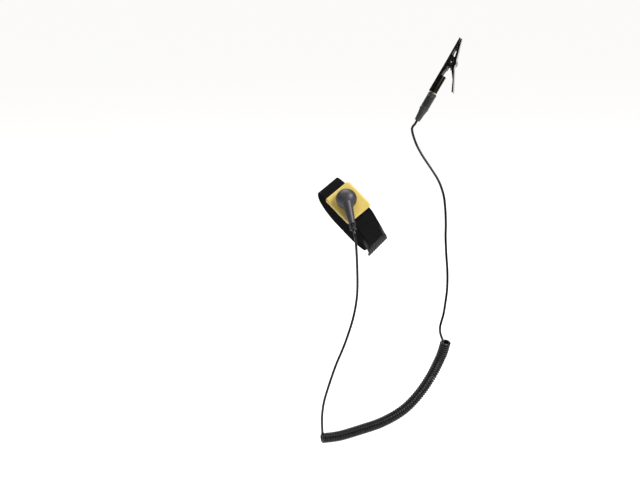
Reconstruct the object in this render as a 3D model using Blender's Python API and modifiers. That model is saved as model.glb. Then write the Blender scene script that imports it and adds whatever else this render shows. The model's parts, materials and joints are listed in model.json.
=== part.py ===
"""An ESD wrist strap: elastic band, snap plate, swivelling snap head, curly ground lead, plug and clip.

The origin is the centre of the loop that goes round the wrist. +Z is up, and the forearm points up and
to the right, so the lead hangs in a U from the snap head to the clip, which is held at hand height.
"""

import math

import bmesh
import bpy
from mathutils import Matrix, Vector

MM = 0.001
GAP = 0.3 * MM
TAU = 2 * math.pi

# Pose of the wrist: the heading and rise of the forearm, and the roll of the snap plate about it.
FOREARM_HEADING = math.radians(21)
FOREARM_RISE = math.radians(36)
PLATE_ROLL = math.radians(49)

# The loop against the skin: across the wrist, and out through the plate. It is flat under the plate,
# slopes away on the tail's side, and is full on the other.
LOOP_OUTLINE = [
    (24.4 * MM, 0.0),
    (23.2 * MM, 3.4 * MM),
    (21.4 * MM, 6.6 * MM),
    (19.1 * MM, 9.8 * MM),
    (16.7 * MM, 12.8 * MM),
    (14.2 * MM, 15.8 * MM),
    (11.8 * MM, 17.9 * MM),
    (9.0 * MM, 18.46 * MM),
    (5.0 * MM, 18.5 * MM),
    (0.0, 18.53 * MM),
    (-5.0 * MM, 18.53 * MM),
    (-10.0 * MM, 18.5 * MM),
    (-14.5 * MM, 18.43 * MM),
    (-19.0 * MM, 17.6 * MM),
    (-23.3 * MM, 16.2 * MM),
    (-26.7 * MM, 13.9 * MM),
    (-28.8 * MM, 10.0 * MM),
    (-29.6 * MM, 4.8 * MM),
    (-29.4 * MM, -1.0 * MM),
    (-28.0 * MM, -7.4 * MM),
    (-23.4 * MM, -13.2 * MM),
    (-16.8 * MM, -16.6 * MM),
    (-10.0 * MM, -18.0 * MM),
    (-3.0 * MM, -18.5 * MM),
    (4.0 * MM, -18.5 * MM),
    (11.0 * MM, -17.8 * MM),
    (17.2 * MM, -15.8 * MM),
    (22.8 * MM, -12.2 * MM),
    (25.3 * MM, -6.3 * MM),
]
DEGREES_PER_FACET = 5
NORMAL_REACH = 2.5 * MM

# The elastic strip overlaps itself. Angles are round the loop from +X of the wrist frame.
BAND_WIDTH = 20 * MM
BAND_THICKNESS = 1.0 * MM
TAIL_LIFT = 1.9 * MM
TAIL_END = -25
TAIL_PEEL_START = 2
TAIL_PEEL = 2.8 * MM
HEM_START = -7
PATCH_END = 50
PANEL_END = 57
STEP_DOWN_START = 125
STEP_DOWN_END = 165
INNER_END = 400
PATCH_THICKNESS = 0.6 * MM
PATCH_LIFT = 1.15 * MM
PANEL_THICKNESS = 0.45 * MM
PANEL_WIDTH = 15.6 * MM
HEM_THICKNESS = 0.8 * MM
OUTER_LIFT = 3.05 * MM

# Snap plate: heights are above the loop's centre, along the plate's normal.
PLATE_X = -2.6 * MM
PLATE_LENGTH = 28.3 * MM
PLATE_WIDTH = 24.4 * MM
PLATE_CORNER = 2.2 * MM
CONTACT_LOW = 18.0 * MM
CONTACT_THICKNESS = 0.5 * MM
BASE_LOW = 18.8 * MM
BASE_THICKNESS = 0.9 * MM
COVER_LOW = 21.7 * MM
COVER_THICKNESS = 2.4 * MM
COVER_TOP = COVER_LOW + COVER_THICKNESS
COVER_ROUNDING = 0.6 * MM
CONTACT_INSET = 1.4 * MM
BASE_INSET = 2.3 * MM
EAR_LENGTH = 12 * MM
EAR_TOP = 21.0 * MM
FOOT_RADIUS = 3.6 * MM
FOOT_HOLE = FOOT_RADIUS + GAP
RIVET_RADIUS = 1.8 * MM
RIVET_HOLE = RIVET_RADIUS + GAP

# Snap: the stud on the plate, a little off its middle, and the socket and spring ring that grip it.
SNAP_X = -4.2 * MM
STUD_LOW = COVER_TOP + GAP
STUD_FLANGE = 6.2 * MM
STUD_NECK = 4.1 * MM
STUD_BULGE = 4.7 * MM
STUD_HEIGHT = 4.0 * MM
SOCKET_LOW = 25.5 * MM
SOCKET_BORE = 5.45 * MM
SOCKET_RADIUS = 5.95 * MM
SOCKET_HEIGHT = 3.9 * MM
RING_WIRE = 0.3 * MM
RING_RADIUS = 5.08 * MM
RING_HEIGHT = 26.3 * MM

# Head: a dome over the socket, and a neck that points along the band and back down the forearm.
HEAD_LOW = 25.2 * MM
HEAD_RADIUS = 8.3 * MM
HEAD_HEIGHT = 8.9 * MM
NECK_ANGLE = math.radians(-29)
NECK_START = 4.5 * MM
NECK_END = 23.2 * MM
RELIEF_END = 28.4 * MM
NECK_HEIGHT = 29.3 * MM
NECK_ROOT_RADIUS = 4.2 * MM
NECK_TIP_RADIUS = 2.6 * MM
NECK_BORE = 1.6 * MM

# Lead.
CORD_RADIUS = 1.0 * MM
COIL_RADIUS = 4.35 * MM
CORD_POINT_STEP = 5 * MM
COIL_POINT_STEP = 6 * MM

# The hanging run from the snap head to the coil, after its straight start.
UPPER_ROUTE = [
    (0.0019, -0.0402, -0.0132),
    (0.0027, -0.0404, -0.0240),
    (0.0032, -0.0405, -0.0363),
    (0.0034, -0.0407, -0.0492),
    (0.0026, -0.0411, -0.0610),
    (-0.0003, -0.0420, -0.0759),
    (-0.0063, -0.0430, -0.0945),
    (-0.0136, -0.0440, -0.1124),
    (-0.0191, -0.0447, -0.1286),
    (-0.0227, -0.0450, -0.1411),
    (-0.0242, -0.0450, -0.1519),
    (-0.0243, -0.0447, -0.1600),
    (-0.0240, -0.0441, -0.1664),
]

# The axis of the curly stretch, from its low end to the end that leans out towards the front.
COIL_ROUTE = [
    (-0.0253, -0.0440, -0.1713),
    (-0.0175, -0.0430, -0.1708),
    (-0.0094, -0.0420, -0.1697),
    (0.0069, -0.0380, -0.1658),
    (0.0232, -0.0335, -0.1613),
    (0.0396, -0.0285, -0.1532),
    (0.0520, -0.0245, -0.1420),
    (0.0626, -0.0220, -0.1271),
    (0.0698, -0.0222, -0.1121),
    (0.0722, -0.0240, -0.1049),
    (0.0740, -0.0280, -0.0961),
]

# The run from the coil up to the plug.
LOWER_ROUTE = [
    (0.0712, -0.0298, -0.0944),
    (0.0697, -0.0306, -0.0905),
    (0.0690, -0.0308, -0.0862),
    (0.0695, -0.0303, -0.0820),
    (0.0718, -0.0280, -0.0746),
    (0.0734, -0.0250, -0.0660),
    (0.0748, -0.0220, -0.0566),
    (0.0753, -0.0190, -0.0479),
    (0.0752, -0.0160, -0.0391),
    (0.0746, -0.0125, -0.0289),
    (0.0742, -0.0080, -0.0158),
    (0.0745, -0.0045, -0.0056),
    (0.0741, -0.0012, 0.0062),
    (0.0727, 0.0008, 0.0170),
    (0.0690, 0.0034, 0.0275),
    (0.0628, 0.0062, 0.0375),
    (0.0560, 0.0090, 0.0475),
    (0.0507, 0.0118, 0.0575),
]

# Clip: its frame has +Z along the jaws, +X across them and the rivet along Y.
CLIP_PIVOT = (79.4 * MM, 17.8 * MM, 120.7 * MM)
CLIP_TILT = math.radians(20.5)
CLIP_LEAN = math.radians(-10)
CLIP_YAW = math.radians(-15)
SHEET = 0.6 * MM
JAW_REACH = 21.0 * MM
TAIL_REACH = 27.0 * MM
FIXED_WIDTH = 7.0 * MM
MOVING_WIDTH = 5.2 * MM
EAR_RADIUS = 4.2 * MM
TOOTH_PITCH = 1.5 * MM
TOOTH_DEPTH = 0.7 * MM
CLIP_RIVET = 1.2 * MM
SLEEVE_BORE = 2.35 * MM
SLEEVE_WALL = 0.4 * MM
SLEEVE_TOP = -12.0 * MM
SLEEVE_ANGLE = math.radians(10.2)
SLEEVE_OFFSET = -5.7 * MM

# Plug, along the clip's sleeve.
PLUG_PIN_RADIUS = 1.6 * MM
PLUG_PIN_LENGTH = 14 * MM
PLUG_SPRING_RADIUS = 2.0 * MM
PLUG_BODY_RADIUS = 3.6 * MM
PLUG_BODY_LENGTH = 26 * MM


def clear_scene():
    for thing in list(bpy.data.objects):
        bpy.data.objects.remove(thing, do_unlink=True)


def collection(name):
    made = bpy.data.collections.new(name)
    bpy.context.scene.collection.children.link(made)
    return made


def material(name, colour, roughness, metallic=0.0):
    made = bpy.data.materials.new(name)
    made.use_nodes = True
    shader = made.node_tree.nodes["Principled BSDF"]
    shader.inputs["Base Color"].default_value = (*colour, 1)
    shader.inputs["Roughness"].default_value = roughness
    shader.inputs["Metallic"].default_value = metallic
    return made


def frame_empty(name, parent=None, location=(0, 0, 0), rotation=(0, 0, 0), order="XYZ"):
    empty = bpy.data.objects.new(name, None)
    PARTS.objects.link(empty)
    empty.parent = parent
    empty.location = location
    empty.rotation_mode = order
    empty.rotation_euler = rotation
    return empty


def place(obj, parent, look, location=(0, 0, 0), rotation=(0, 0, 0)):
    """Files the object under the parts, in its parent's frame, with its material."""
    PARTS.objects.link(obj)
    obj.parent = parent
    obj.location = location
    obj.rotation_euler = rotation
    obj.data.materials.clear()
    obj.data.materials.append(look)
    if obj.type == "MESH":
        obj.data.shade_smooth()
        obj.data.set_sharp_from_angle(angle=math.radians(35))
    return obj


def as_mesh(obj):
    """Replaces a curve, or a mesh with modifiers, by its evaluated mesh, welded closed."""
    bpy.context.scene.collection.objects.link(obj)
    bpy.context.view_layer.update()
    evaluated = obj.evaluated_get(bpy.context.evaluated_depsgraph_get())
    mesh = bpy.data.meshes.new_from_object(evaluated)
    work = bmesh.new()
    work.from_mesh(mesh)
    bmesh.ops.remove_doubles(work, verts=work.verts, dist=0.001 * MM)
    bmesh.ops.recalc_face_normals(work, faces=work.faces)
    work.to_mesh(mesh)
    work.free()
    name = obj.name
    matrix = obj.matrix_world.copy()
    bpy.data.objects.remove(obj, do_unlink=True)
    made = bpy.data.objects.new(name, mesh)
    made.matrix_world = matrix
    return made


def prism(name, outline, thickness):
    """A flat outline in XY, thickened equally on both sides along Z."""
    curve = bpy.data.curves.new(name, "CURVE")
    curve.dimensions = "2D"
    curve.fill_mode = "BOTH"
    curve.extrude = thickness / 2
    spline = curve.splines.new("POLY")
    spline.points.add(len(outline) - 1)
    for point, (x, y) in zip(spline.points, outline):
        point.co = (x, y, 0, 1)
    spline.use_cyclic_u = True
    return as_mesh(bpy.data.objects.new(name, curve))


def turned(name, profile, steps=32):
    """A solid of revolution about Z. The profile is (radius, height) points, down the outer side."""
    mesh = bpy.data.meshes.new(name)
    points = [(r, 0, z) for r, z in profile]
    mesh.from_pydata(points, [(i, i + 1) for i in range(len(points) - 1)], [])
    obj = bpy.data.objects.new(name, mesh)
    screw = obj.modifiers.new("turn", "SCREW")
    screw.steps = steps
    screw.render_steps = steps
    screw.use_merge_vertices = True
    screw.merge_threshold = 0.001 * MM
    return as_mesh(obj)


def tube(name, points, radius, resolution=2, cyclic=False):
    curve = bpy.data.curves.new(name, "CURVE")
    curve.dimensions = "3D"
    curve.bevel_depth = radius
    curve.bevel_resolution = resolution
    curve.use_fill_caps = True
    spline = curve.splines.new("POLY")
    spline.points.add(len(points) - 1)
    for point, place_at in zip(spline.points, points):
        point.co = (*place_at, 1)
    spline.use_cyclic_u = cyclic
    return bpy.data.objects.new(name, curve)


def cut(obj, cutter):
    """Takes the cutter out of a piece that is already placed."""
    join_or_cut(obj, cutter, "DIFFERENCE")


def unite(obj, other):
    join_or_cut(obj, other, "UNION")


def join_or_cut(obj, other, operation):
    CUTTERS.objects.link(other)
    other.parent = obj
    other.hide_render = True
    other.display_type = "WIRE"
    change = obj.modifiers.new(other.name, "BOOLEAN")
    change.operation = operation
    change.object = other


def cylinder(name, radius, low, high, steps=24):
    return turned(name, [(0, high), (radius, high), (radius, low), (0, low)], steps)


def bevel(obj, width, segments=2, angle=40):
    rounding = obj.modifiers.new("rounded edges", "BEVEL")
    rounding.width = width
    rounding.segments = segments
    rounding.limit_method = "ANGLE"
    rounding.angle_limit = math.radians(angle)
    rounding.harden_normals = False


def smooth_route(points, step):
    """Points a step apart on a smooth curve through the given ones."""
    ways = [Vector(p) for p in points]
    ways = [2 * ways[0] - ways[1]] + ways + [2 * ways[-1] - ways[-2]]
    fine = []
    for i in range(1, len(ways) - 2):
        a, b, c, d = ways[i - 1 : i + 3]
        for k in range(16):
            t = k / 16
            fine.append(
                0.5
                * (
                    2 * b
                    + (c - a) * t
                    + (2 * a - 5 * b + 4 * c - d) * t**2
                    + (3 * b - a - 3 * c + d) * t**3
                )
            )
    fine.append(ways[-2])
    lengths = [0.0]
    for p, q in zip(fine, fine[1:]):
        lengths.append(lengths[-1] + (q - p).length)
    count = max(2, round(lengths[-1] / step))
    spaced = []
    for k in range(count + 1):
        want = lengths[-1] * k / count
        i = max(j for j, length in enumerate(lengths) if length <= want + 1e-9)
        i = min(i, len(fine) - 2)
        share = (want - lengths[i]) / (lengths[i + 1] - lengths[i])
        spaced.append(fine[i].lerp(fine[i + 1], share))
    return spaced


def rounded_rectangle(centre_x, length, width, corner, segments=5):
    """Outline points of a rectangle with round corners, anticlockwise."""
    outline = []
    for quarter, (sx, sy) in enumerate(((1, 1), (-1, 1), (-1, -1), (1, -1))):
        for k in range(segments + 1):
            angle = math.pi / 2 * (quarter + k / segments)
            x = centre_x + sx * (length / 2 - corner) + corner * math.cos(angle)
            y = sy * (width / 2 - corner) + corner * math.sin(angle)
            outline.append((x, y))
    return outline


def closed_curve(points, pieces=12):
    """A smooth closed curve through the points, as many short straight pieces."""
    count = len(points)
    fine = []
    for i in range(count):
        a, b, c, d = (Vector(points[(i + k) % count]) for k in (-1, 0, 1, 2))
        for k in range(pieces):
            t = k / pieces
            bend = (2 * a - 5 * b + 4 * c - d) * t**2 + (3 * b - a - 3 * c + d) * t**3
            fine.append(0.5 * (2 * b + (c - a) * t + bend))
    return fine


def loop_point(degrees, lift):
    """A point of the loop in its own plane, at that angle from its centre, lifted outward from the skin."""
    angle = math.radians(degrees) % TAU
    for start, end in zip(LOOP_CURVE, LOOP_CURVE[1:] + LOOP_CURVE[:1]):
        low = math.atan2(start.y, start.x) % TAU
        turn = (math.atan2(end.y, end.x) - low) % TAU
        share = ((angle - low) % TAU) / turn
        if share < 1:
            break
    place_at = start.lerp(end, share)
    normal = loop_normal(place_at, (end - start).normalized())
    return place_at.x + lift * normal.x, place_at.y + lift * normal.y


def loop_normal(place_at, along):
    """Outward normal, averaged over the curve close by, so that a lifted layer stays smooth."""
    total = Vector((0, 0))
    for a, b in zip(LOOP_CURVE, LOOP_CURVE[1:] + LOOP_CURVE[:1]):
        away = ((a + b) / 2 - place_at).length
        if away < NORMAL_REACH and (b - a).dot(along) > 0:
            total += Vector((b.y - a.y, a.x - b.x)) * (1 - away / NORMAL_REACH)
    return total.normalized()


def smoothstep(low, high, value):
    t = min(1.0, max(0.0, (value - low) / (high - low)))
    return t * t * (3 - 2 * t)


def tail_peel(degrees):
    """How far the tail's free end has lifted off the layer under it."""
    return TAIL_PEEL * (1 - smoothstep(TAIL_END, TAIL_PEEL_START, degrees))


def strip_lift(degrees):
    """How far the strip's inner face stands off the skin: over its own inner end, then down onto it."""
    lift = TAIL_LIFT * (1 - smoothstep(STEP_DOWN_START, STEP_DOWN_END, degrees))
    return lift + (tail_peel(degrees) if degrees < TAIL_PEEL_START else 0)


def loop_strip(name, start, end, lift, thickness, width):
    """A layer that follows the loop from one angle to another. lift is a function of the angle."""
    count = max(2, round((end - start) / DEGREES_PER_FACET))
    angles = [start + (end - start) * k / count for k in range(count + 1)]
    inner = [loop_point(a, lift(a)) for a in angles]
    outer = [loop_point(a, lift(a) + thickness) for a in angles]
    return prism(name, outer + inner[::-1], width)


def make_band(wrist):
    upright = (math.pi / 2, 0, 0)
    strip = loop_strip(
        "elastic_band", TAIL_END, INNER_END, strip_lift, BAND_THICKNESS, BAND_WIDTH
    )
    strip = place(strip, wrist, FABRIC, rotation=upright)
    hole = cylinder("rivet_hole_band", RIVET_HOLE, -COVER_LOW - 2 * MM, -CONTACT_LOW + 2 * MM, 20)
    cut(strip, hole)
    hole.location = (SNAP_X, 0, 0)
    hole.rotation_euler = (math.pi / 2, 0, 0)
    patch = loop_strip(
        "hook_patch",
        TAIL_END + 3,
        PATCH_END,
        lambda a: PATCH_LIFT + tail_peel(a),
        PATCH_THICKNESS,
        PANEL_WIDTH,
    )
    place(patch, wrist, HOOK, rotation=upright)
    panel = loop_strip(
        "pile_panel",
        HEM_START,
        PANEL_END,
        lambda a: OUTER_LIFT + tail_peel(a),
        PANEL_THICKNESS,
        PANEL_WIDTH,
    )
    place(panel, wrist, PILE, rotation=upright)
    hem = loop_strip(
        "tail_hem",
        TAIL_END,
        HEM_START - 1,
        lambda a: OUTER_LIFT + tail_peel(a),
        HEM_THICKNESS,
        BAND_WIDTH,
    )
    place(hem, wrist, GREY_KNIT, rotation=upright)


def plate_layer(name, low, thickness, inset, look, wrist, hole_radius, rounding=0):
    outline = rounded_rectangle(
        PLATE_X, PLATE_LENGTH - 2 * inset, PLATE_WIDTH - 2 * inset, PLATE_CORNER
    )
    layer = prism(name, outline, thickness)
    layer = place(layer, wrist, look, location=(0, 0, low + thickness / 2))
    hole = cylinder("rivet_hole_" + name, hole_radius, -thickness, thickness, 32)
    hole.location = (SNAP_X, 0, 0)
    if rounding:
        bevel(layer, rounding)
    cut(layer, hole)
    return layer


def contact_ear(name, side):
    """A lip turned up from the contact plate's edge, beside the base and the strip."""
    height = EAR_TOP - CONTACT_LOW - 0.1 * MM
    outline = rounded_rectangle(PLATE_X, EAR_LENGTH, CONTACT_THICKNESS, 0.1 * MM, 1)
    ear = prism(name, outline, height)
    ear.location = (
        0,
        side * (PLATE_WIDTH / 2 - CONTACT_INSET - CONTACT_THICKNESS / 2),
        EAR_TOP - height / 2 - (CONTACT_LOW + CONTACT_THICKNESS / 2),
    )
    return ear


def make_plate(wrist):
    contact = plate_layer(
        "contact_plate", CONTACT_LOW, CONTACT_THICKNESS, CONTACT_INSET, STEEL, wrist, FOOT_HOLE
    )
    for name, side in (("ear_left", 1), ("ear_right", -1)):
        ear = contact_ear(name, side)
        unite(contact, ear)
    plate_layer("plate_base", BASE_LOW, BASE_THICKNESS, BASE_INSET, BLACK_PLASTIC, wrist, RIVET_HOLE)
    plate_layer(
        "plate_cover", COVER_LOW, COVER_THICKNESS, 0, YELLOW, wrist, RIVET_HOLE, COVER_ROUNDING
    )
    stud_top = STUD_LOW + STUD_HEIGHT
    bore = RIVET_RADIUS + GAP
    stud = turned(
        "snap_stud",
        [
            (bore, stud_top),
            (STUD_BULGE - 1.0 * MM, stud_top),
            (STUD_BULGE, stud_top - 0.7 * MM),
            (STUD_BULGE, stud_top - 1.3 * MM),
            (STUD_NECK, stud_top - 2.0 * MM),
            (STUD_NECK, STUD_LOW + 0.6 * MM),
            (STUD_FLANGE, STUD_LOW + 0.5 * MM),
            (STUD_FLANGE, STUD_LOW),
            (bore, STUD_LOW),
            (bore, stud_top),
        ],
    )
    place(stud, wrist, STEEL, location=(SNAP_X, 0, 0))
    foot_top = CONTACT_LOW + CONTACT_THICKNESS
    rivet = turned(
        "stud_rivet",
        [
            (0, stud_top - 0.6 * MM),
            (RIVET_RADIUS, stud_top - 0.8 * MM),
            (RIVET_RADIUS, foot_top),
            (FOOT_RADIUS, foot_top),
            (FOOT_RADIUS - 0.2 * MM, CONTACT_LOW),
            (0, CONTACT_LOW),
        ],
    )
    place(rivet, wrist, STEEL, location=(SNAP_X, 0, 0))


def head_shell(swivel):
    """The moulded dome with its neck, hollow for the socket and bored along the neck."""
    arc = 9
    dome = [
        (
            HEAD_RADIUS * math.sin(math.pi / 2 * k / arc) ** 0.8,
            HEAD_LOW + 1.6 * MM + (HEAD_HEIGHT - 1.6 * MM) * math.cos(math.pi / 2 * k / arc),
        )
        for k in range(arc + 1)
    ]
    profile = dome + [(HEAD_RADIUS - 0.4 * MM, HEAD_LOW), (0, HEAD_LOW)]
    shell = place(turned("head_shell", profile, 40), swivel, CHARCOAL)
    neck = turned(
        "neck_form",
        [
            (0, NECK_END),
            (NECK_TIP_RADIUS, NECK_END),
            (NECK_ROOT_RADIUS, NECK_START),
            (0, NECK_START),
        ],
        20,
    )
    unite(shell, neck)
    neck.location = (0, 0, NECK_HEIGHT)
    neck.rotation_euler = (0, math.pi / 2, NECK_ANGLE)
    chamber_top = SOCKET_LOW + SOCKET_HEIGHT + GAP
    cut(shell, cylinder("socket_chamber", SOCKET_RADIUS + 0.9 * MM, HEAD_LOW - MM, chamber_top, 32))
    bore = cylinder("neck_bore", NECK_BORE, 0, NECK_END + MM, 16)
    cut(shell, bore)
    bore.location = (0, 0, NECK_HEIGHT)
    bore.rotation_euler = (0, math.pi / 2, NECK_ANGLE)


def make_snap_parts(swivel):
    top = SOCKET_LOW + SOCKET_HEIGHT
    wall = SOCKET_RADIUS - SOCKET_BORE
    socket = turned(
        "snap_socket",
        [
            (0, top),
            (SOCKET_RADIUS, top),
            (SOCKET_RADIUS, SOCKET_LOW + 0.5 * MM),
            (SOCKET_RADIUS + 0.6 * MM, SOCKET_LOW + 0.4 * MM),
            (SOCKET_RADIUS + 0.6 * MM, SOCKET_LOW),
            (SOCKET_BORE, SOCKET_LOW),
            (SOCKET_BORE, top - wall),
            (0, top - wall),
        ],
    )
    place(socket, swivel, STEEL)


def make_spring_ring(wrist):
    """The sprung wire ring that grips the stud's neck, open on one side."""
    points = []
    for k in range(33):
        angle = math.radians(20 + 320 * k / 32)
        points.append((RING_RADIUS * math.cos(angle), RING_RADIUS * math.sin(angle), 0))
    ring = tube("snap_spring", points, RING_WIRE, 1)
    place(as_mesh(ring), wrist, STEEL, location=(SNAP_X, 0, RING_HEIGHT))


def make_neck_parts(neck):
    """What lies along the neck's bore; the neck frame has +X along it."""
    along = (0, math.pi / 2, 0)
    resistor = turned(
        "resistor",
        [
            (0, 6.3 * MM),
            (0.8 * MM, 6.3 * MM),
            (1.15 * MM, 5.7 * MM),
            (1.15 * MM, 4.9 * MM),
            (0.95 * MM, 4.5 * MM),
            (0.95 * MM, 1.8 * MM),
            (1.15 * MM, 1.4 * MM),
            (1.15 * MM, 0.6 * MM),
            (0.8 * MM, 0),
            (0, 0),
        ],
        16,
    )
    place(resistor, neck, RESISTOR_BLUE, location=(11 * MM, 0, 0), rotation=along)
    wire = 0.3 * MM
    inner = tube("resistor_lead_inner", [(7.6 * MM, 0, 0), (10.7 * MM, 0, 0)], wire)
    place(inner, neck, COPPER)
    outer = tube("resistor_lead_outer", [(17.6 * MM, 0, 0), (20.2 * MM, 0, 0)], wire)
    place(outer, neck, COPPER)
    ferrule = turned(
        "wire_ferrule",
        [
            (0.55 * MM, 4.2 * MM),
            (0.95 * MM, 4.2 * MM),
            (0.95 * MM, 0),
            (0.55 * MM, 0),
            (0.55 * MM, 4.2 * MM),
        ],
        16,
    )
    place(ferrule, neck, BRASS, location=(19.4 * MM, 0, 0), rotation=along)


def make_strain_relief(neck):
    """The ribbed end of the neck: two grooves between three ribs, and the mouth."""
    low = NECK_END + GAP
    rib = NECK_TIP_RADIUS
    groove = 1.95 * MM
    bore = CORD_RADIUS + GAP
    step = (RELIEF_END - low) / 5
    outline = [(bore, RELIEF_END), (2.0 * MM, RELIEF_END), (2.75 * MM, RELIEF_END - 0.6 * step)]
    outline += [(2.75 * MM, low + 3.8 * step), (groove, low + 3.4 * step)]
    outline += [(groove, low + 2.9 * step), (rib, low + 2.6 * step)]
    outline += [(rib, low + 1.6 * step), (groove, low + 1.3 * step)]
    outline += [(groove, low + 0.8 * step), (rib, low + 0.5 * step)]
    outline += [(rib, low), (bore, low), (bore, RELIEF_END)]
    relief = turned("strain_relief", outline, 24)
    place(relief, neck, CHARCOAL, rotation=(0, math.pi / 2, 0))


def make_lead(lead, neck):
    bpy.context.view_layer.update()
    to_world = neck.matrix_world
    start = [to_world @ Vector((d, 0, 0)) for d in (24.2 * MM, 28.0 * MM, 32.0 * MM)]
    upper = smooth_route(start + [Vector(p) for p in UPPER_ROUTE], CORD_POINT_STEP)
    place(tube("cord_upper", upper, CORD_RADIUS), lead, CORD_BLACK)
    coil = smooth_route(COIL_ROUTE, COIL_POINT_STEP)
    place(tube("cord_coil", coil, COIL_RADIUS, 4), lead, CORD_BLACK)
    plug_mouth = PLUG_FRAME.matrix_world
    body_low = -PLUG_BODY_LENGTH
    end = [plug_mouth @ Vector((0, 0, body_low + d)) for d in (-8 * MM, -3 * MM, 3 * MM)]
    lower = smooth_route([Vector(p) for p in LOWER_ROUTE] + end, CORD_POINT_STEP)
    place(tube("cord_lower", lower, CORD_RADIUS), lead, CORD_BLACK)


def make_plug(plug):
    """The stackless plug on the lead's end; its frame has +Z into the clip's sleeve, from the sleeve's mouth."""
    pin = turned(
        "plug_pin",
        [
            (0, PLUG_PIN_LENGTH),
            (0.9 * MM, PLUG_PIN_LENGTH - 0.2 * MM),
            (PLUG_PIN_RADIUS, PLUG_PIN_LENGTH - 1.6 * MM),
            (PLUG_PIN_RADIUS, PLUG_PIN_LENGTH - 2.6 * MM),
            (1.1 * MM, PLUG_PIN_LENGTH - 2.8 * MM),
            (1.1 * MM, 2.4 * MM),
            (PLUG_PIN_RADIUS, 2.2 * MM),
            (PLUG_PIN_RADIUS, -8 * MM),
            (0, -8 * MM),
        ],
        20,
    )
    place(pin, plug, BRASS)
    low, high = 2.6 * MM, PLUG_PIN_LENGTH - 3.0 * MM
    spring = turned(
        "plug_spring",
        [
            (1.4 * MM, high),
            (1.65 * MM, high),
            (PLUG_SPRING_RADIUS + 0.15 * MM, (low + high) / 2),
            (1.65 * MM, low),
            (1.4 * MM, low),
            (1.85 * MM, (low + high) / 2),
            (1.4 * MM, high),
        ],
        20,
    )
    place(spring, plug, BRASS)
    mouth = -0.8 * MM
    low = -PLUG_BODY_LENGTH
    body = turned(
        "plug_body",
        [
            (PLUG_PIN_RADIUS + GAP, mouth),
            (PLUG_BODY_RADIUS - 0.8 * MM, mouth),
            (PLUG_BODY_RADIUS, mouth - 0.9 * MM),
            (PLUG_BODY_RADIUS, mouth - 15 * MM),
            (2.6 * MM, low + 6 * MM),
            (2.2 * MM, low),
            (CORD_RADIUS + GAP, low),
            (CORD_RADIUS + GAP, low + 5 * MM),
            (PLUG_PIN_RADIUS + GAP, low + 6 * MM),
            (PLUG_PIN_RADIUS + GAP, mouth),
        ],
        24,
    )
    place(body, plug, BLACK_PLASTIC)


def toothed_edge(start, end, inward):
    """Zigzag points from start to end, each tooth reaching inward by TOOTH_DEPTH."""
    start, end = Vector(start), Vector(end)
    count = max(1, round((end - start).length / TOOTH_PITCH))
    points = []
    for k in range(count):
        points.append(start.lerp(end, k / count))
        points.append(start.lerp(end, (k + 0.5) / count) + Vector(inward) * TOOTH_DEPTH)
    points.append(end)
    return [(p.x, p.y) for p in points]


def ear_arc(start_degrees, end_degrees, count=8):
    points = []
    for k in range(count + 1):
        angle = math.radians(start_degrees + (end_degrees - start_degrees) * k / count)
        points.append((EAR_RADIUS * math.cos(angle), EAR_RADIUS * math.sin(angle)))
    return points


def channel(name, outline, cavity, width, look, parent):
    """A folded sheet jaw: the outline in side view, hollowed from its open side."""
    upright = (math.pi / 2, 0, 0)
    jaw = place(prism(name, outline, width), parent, look, rotation=upright)
    hollow = prism(name + "_hollow", cavity, width - 2 * SHEET)
    cut(jaw, hollow)
    hole = cylinder(name + "_rivet_hole", CLIP_RIVET + GAP, -width, width, 20)
    cut(jaw, hole)
    return jaw


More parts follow.
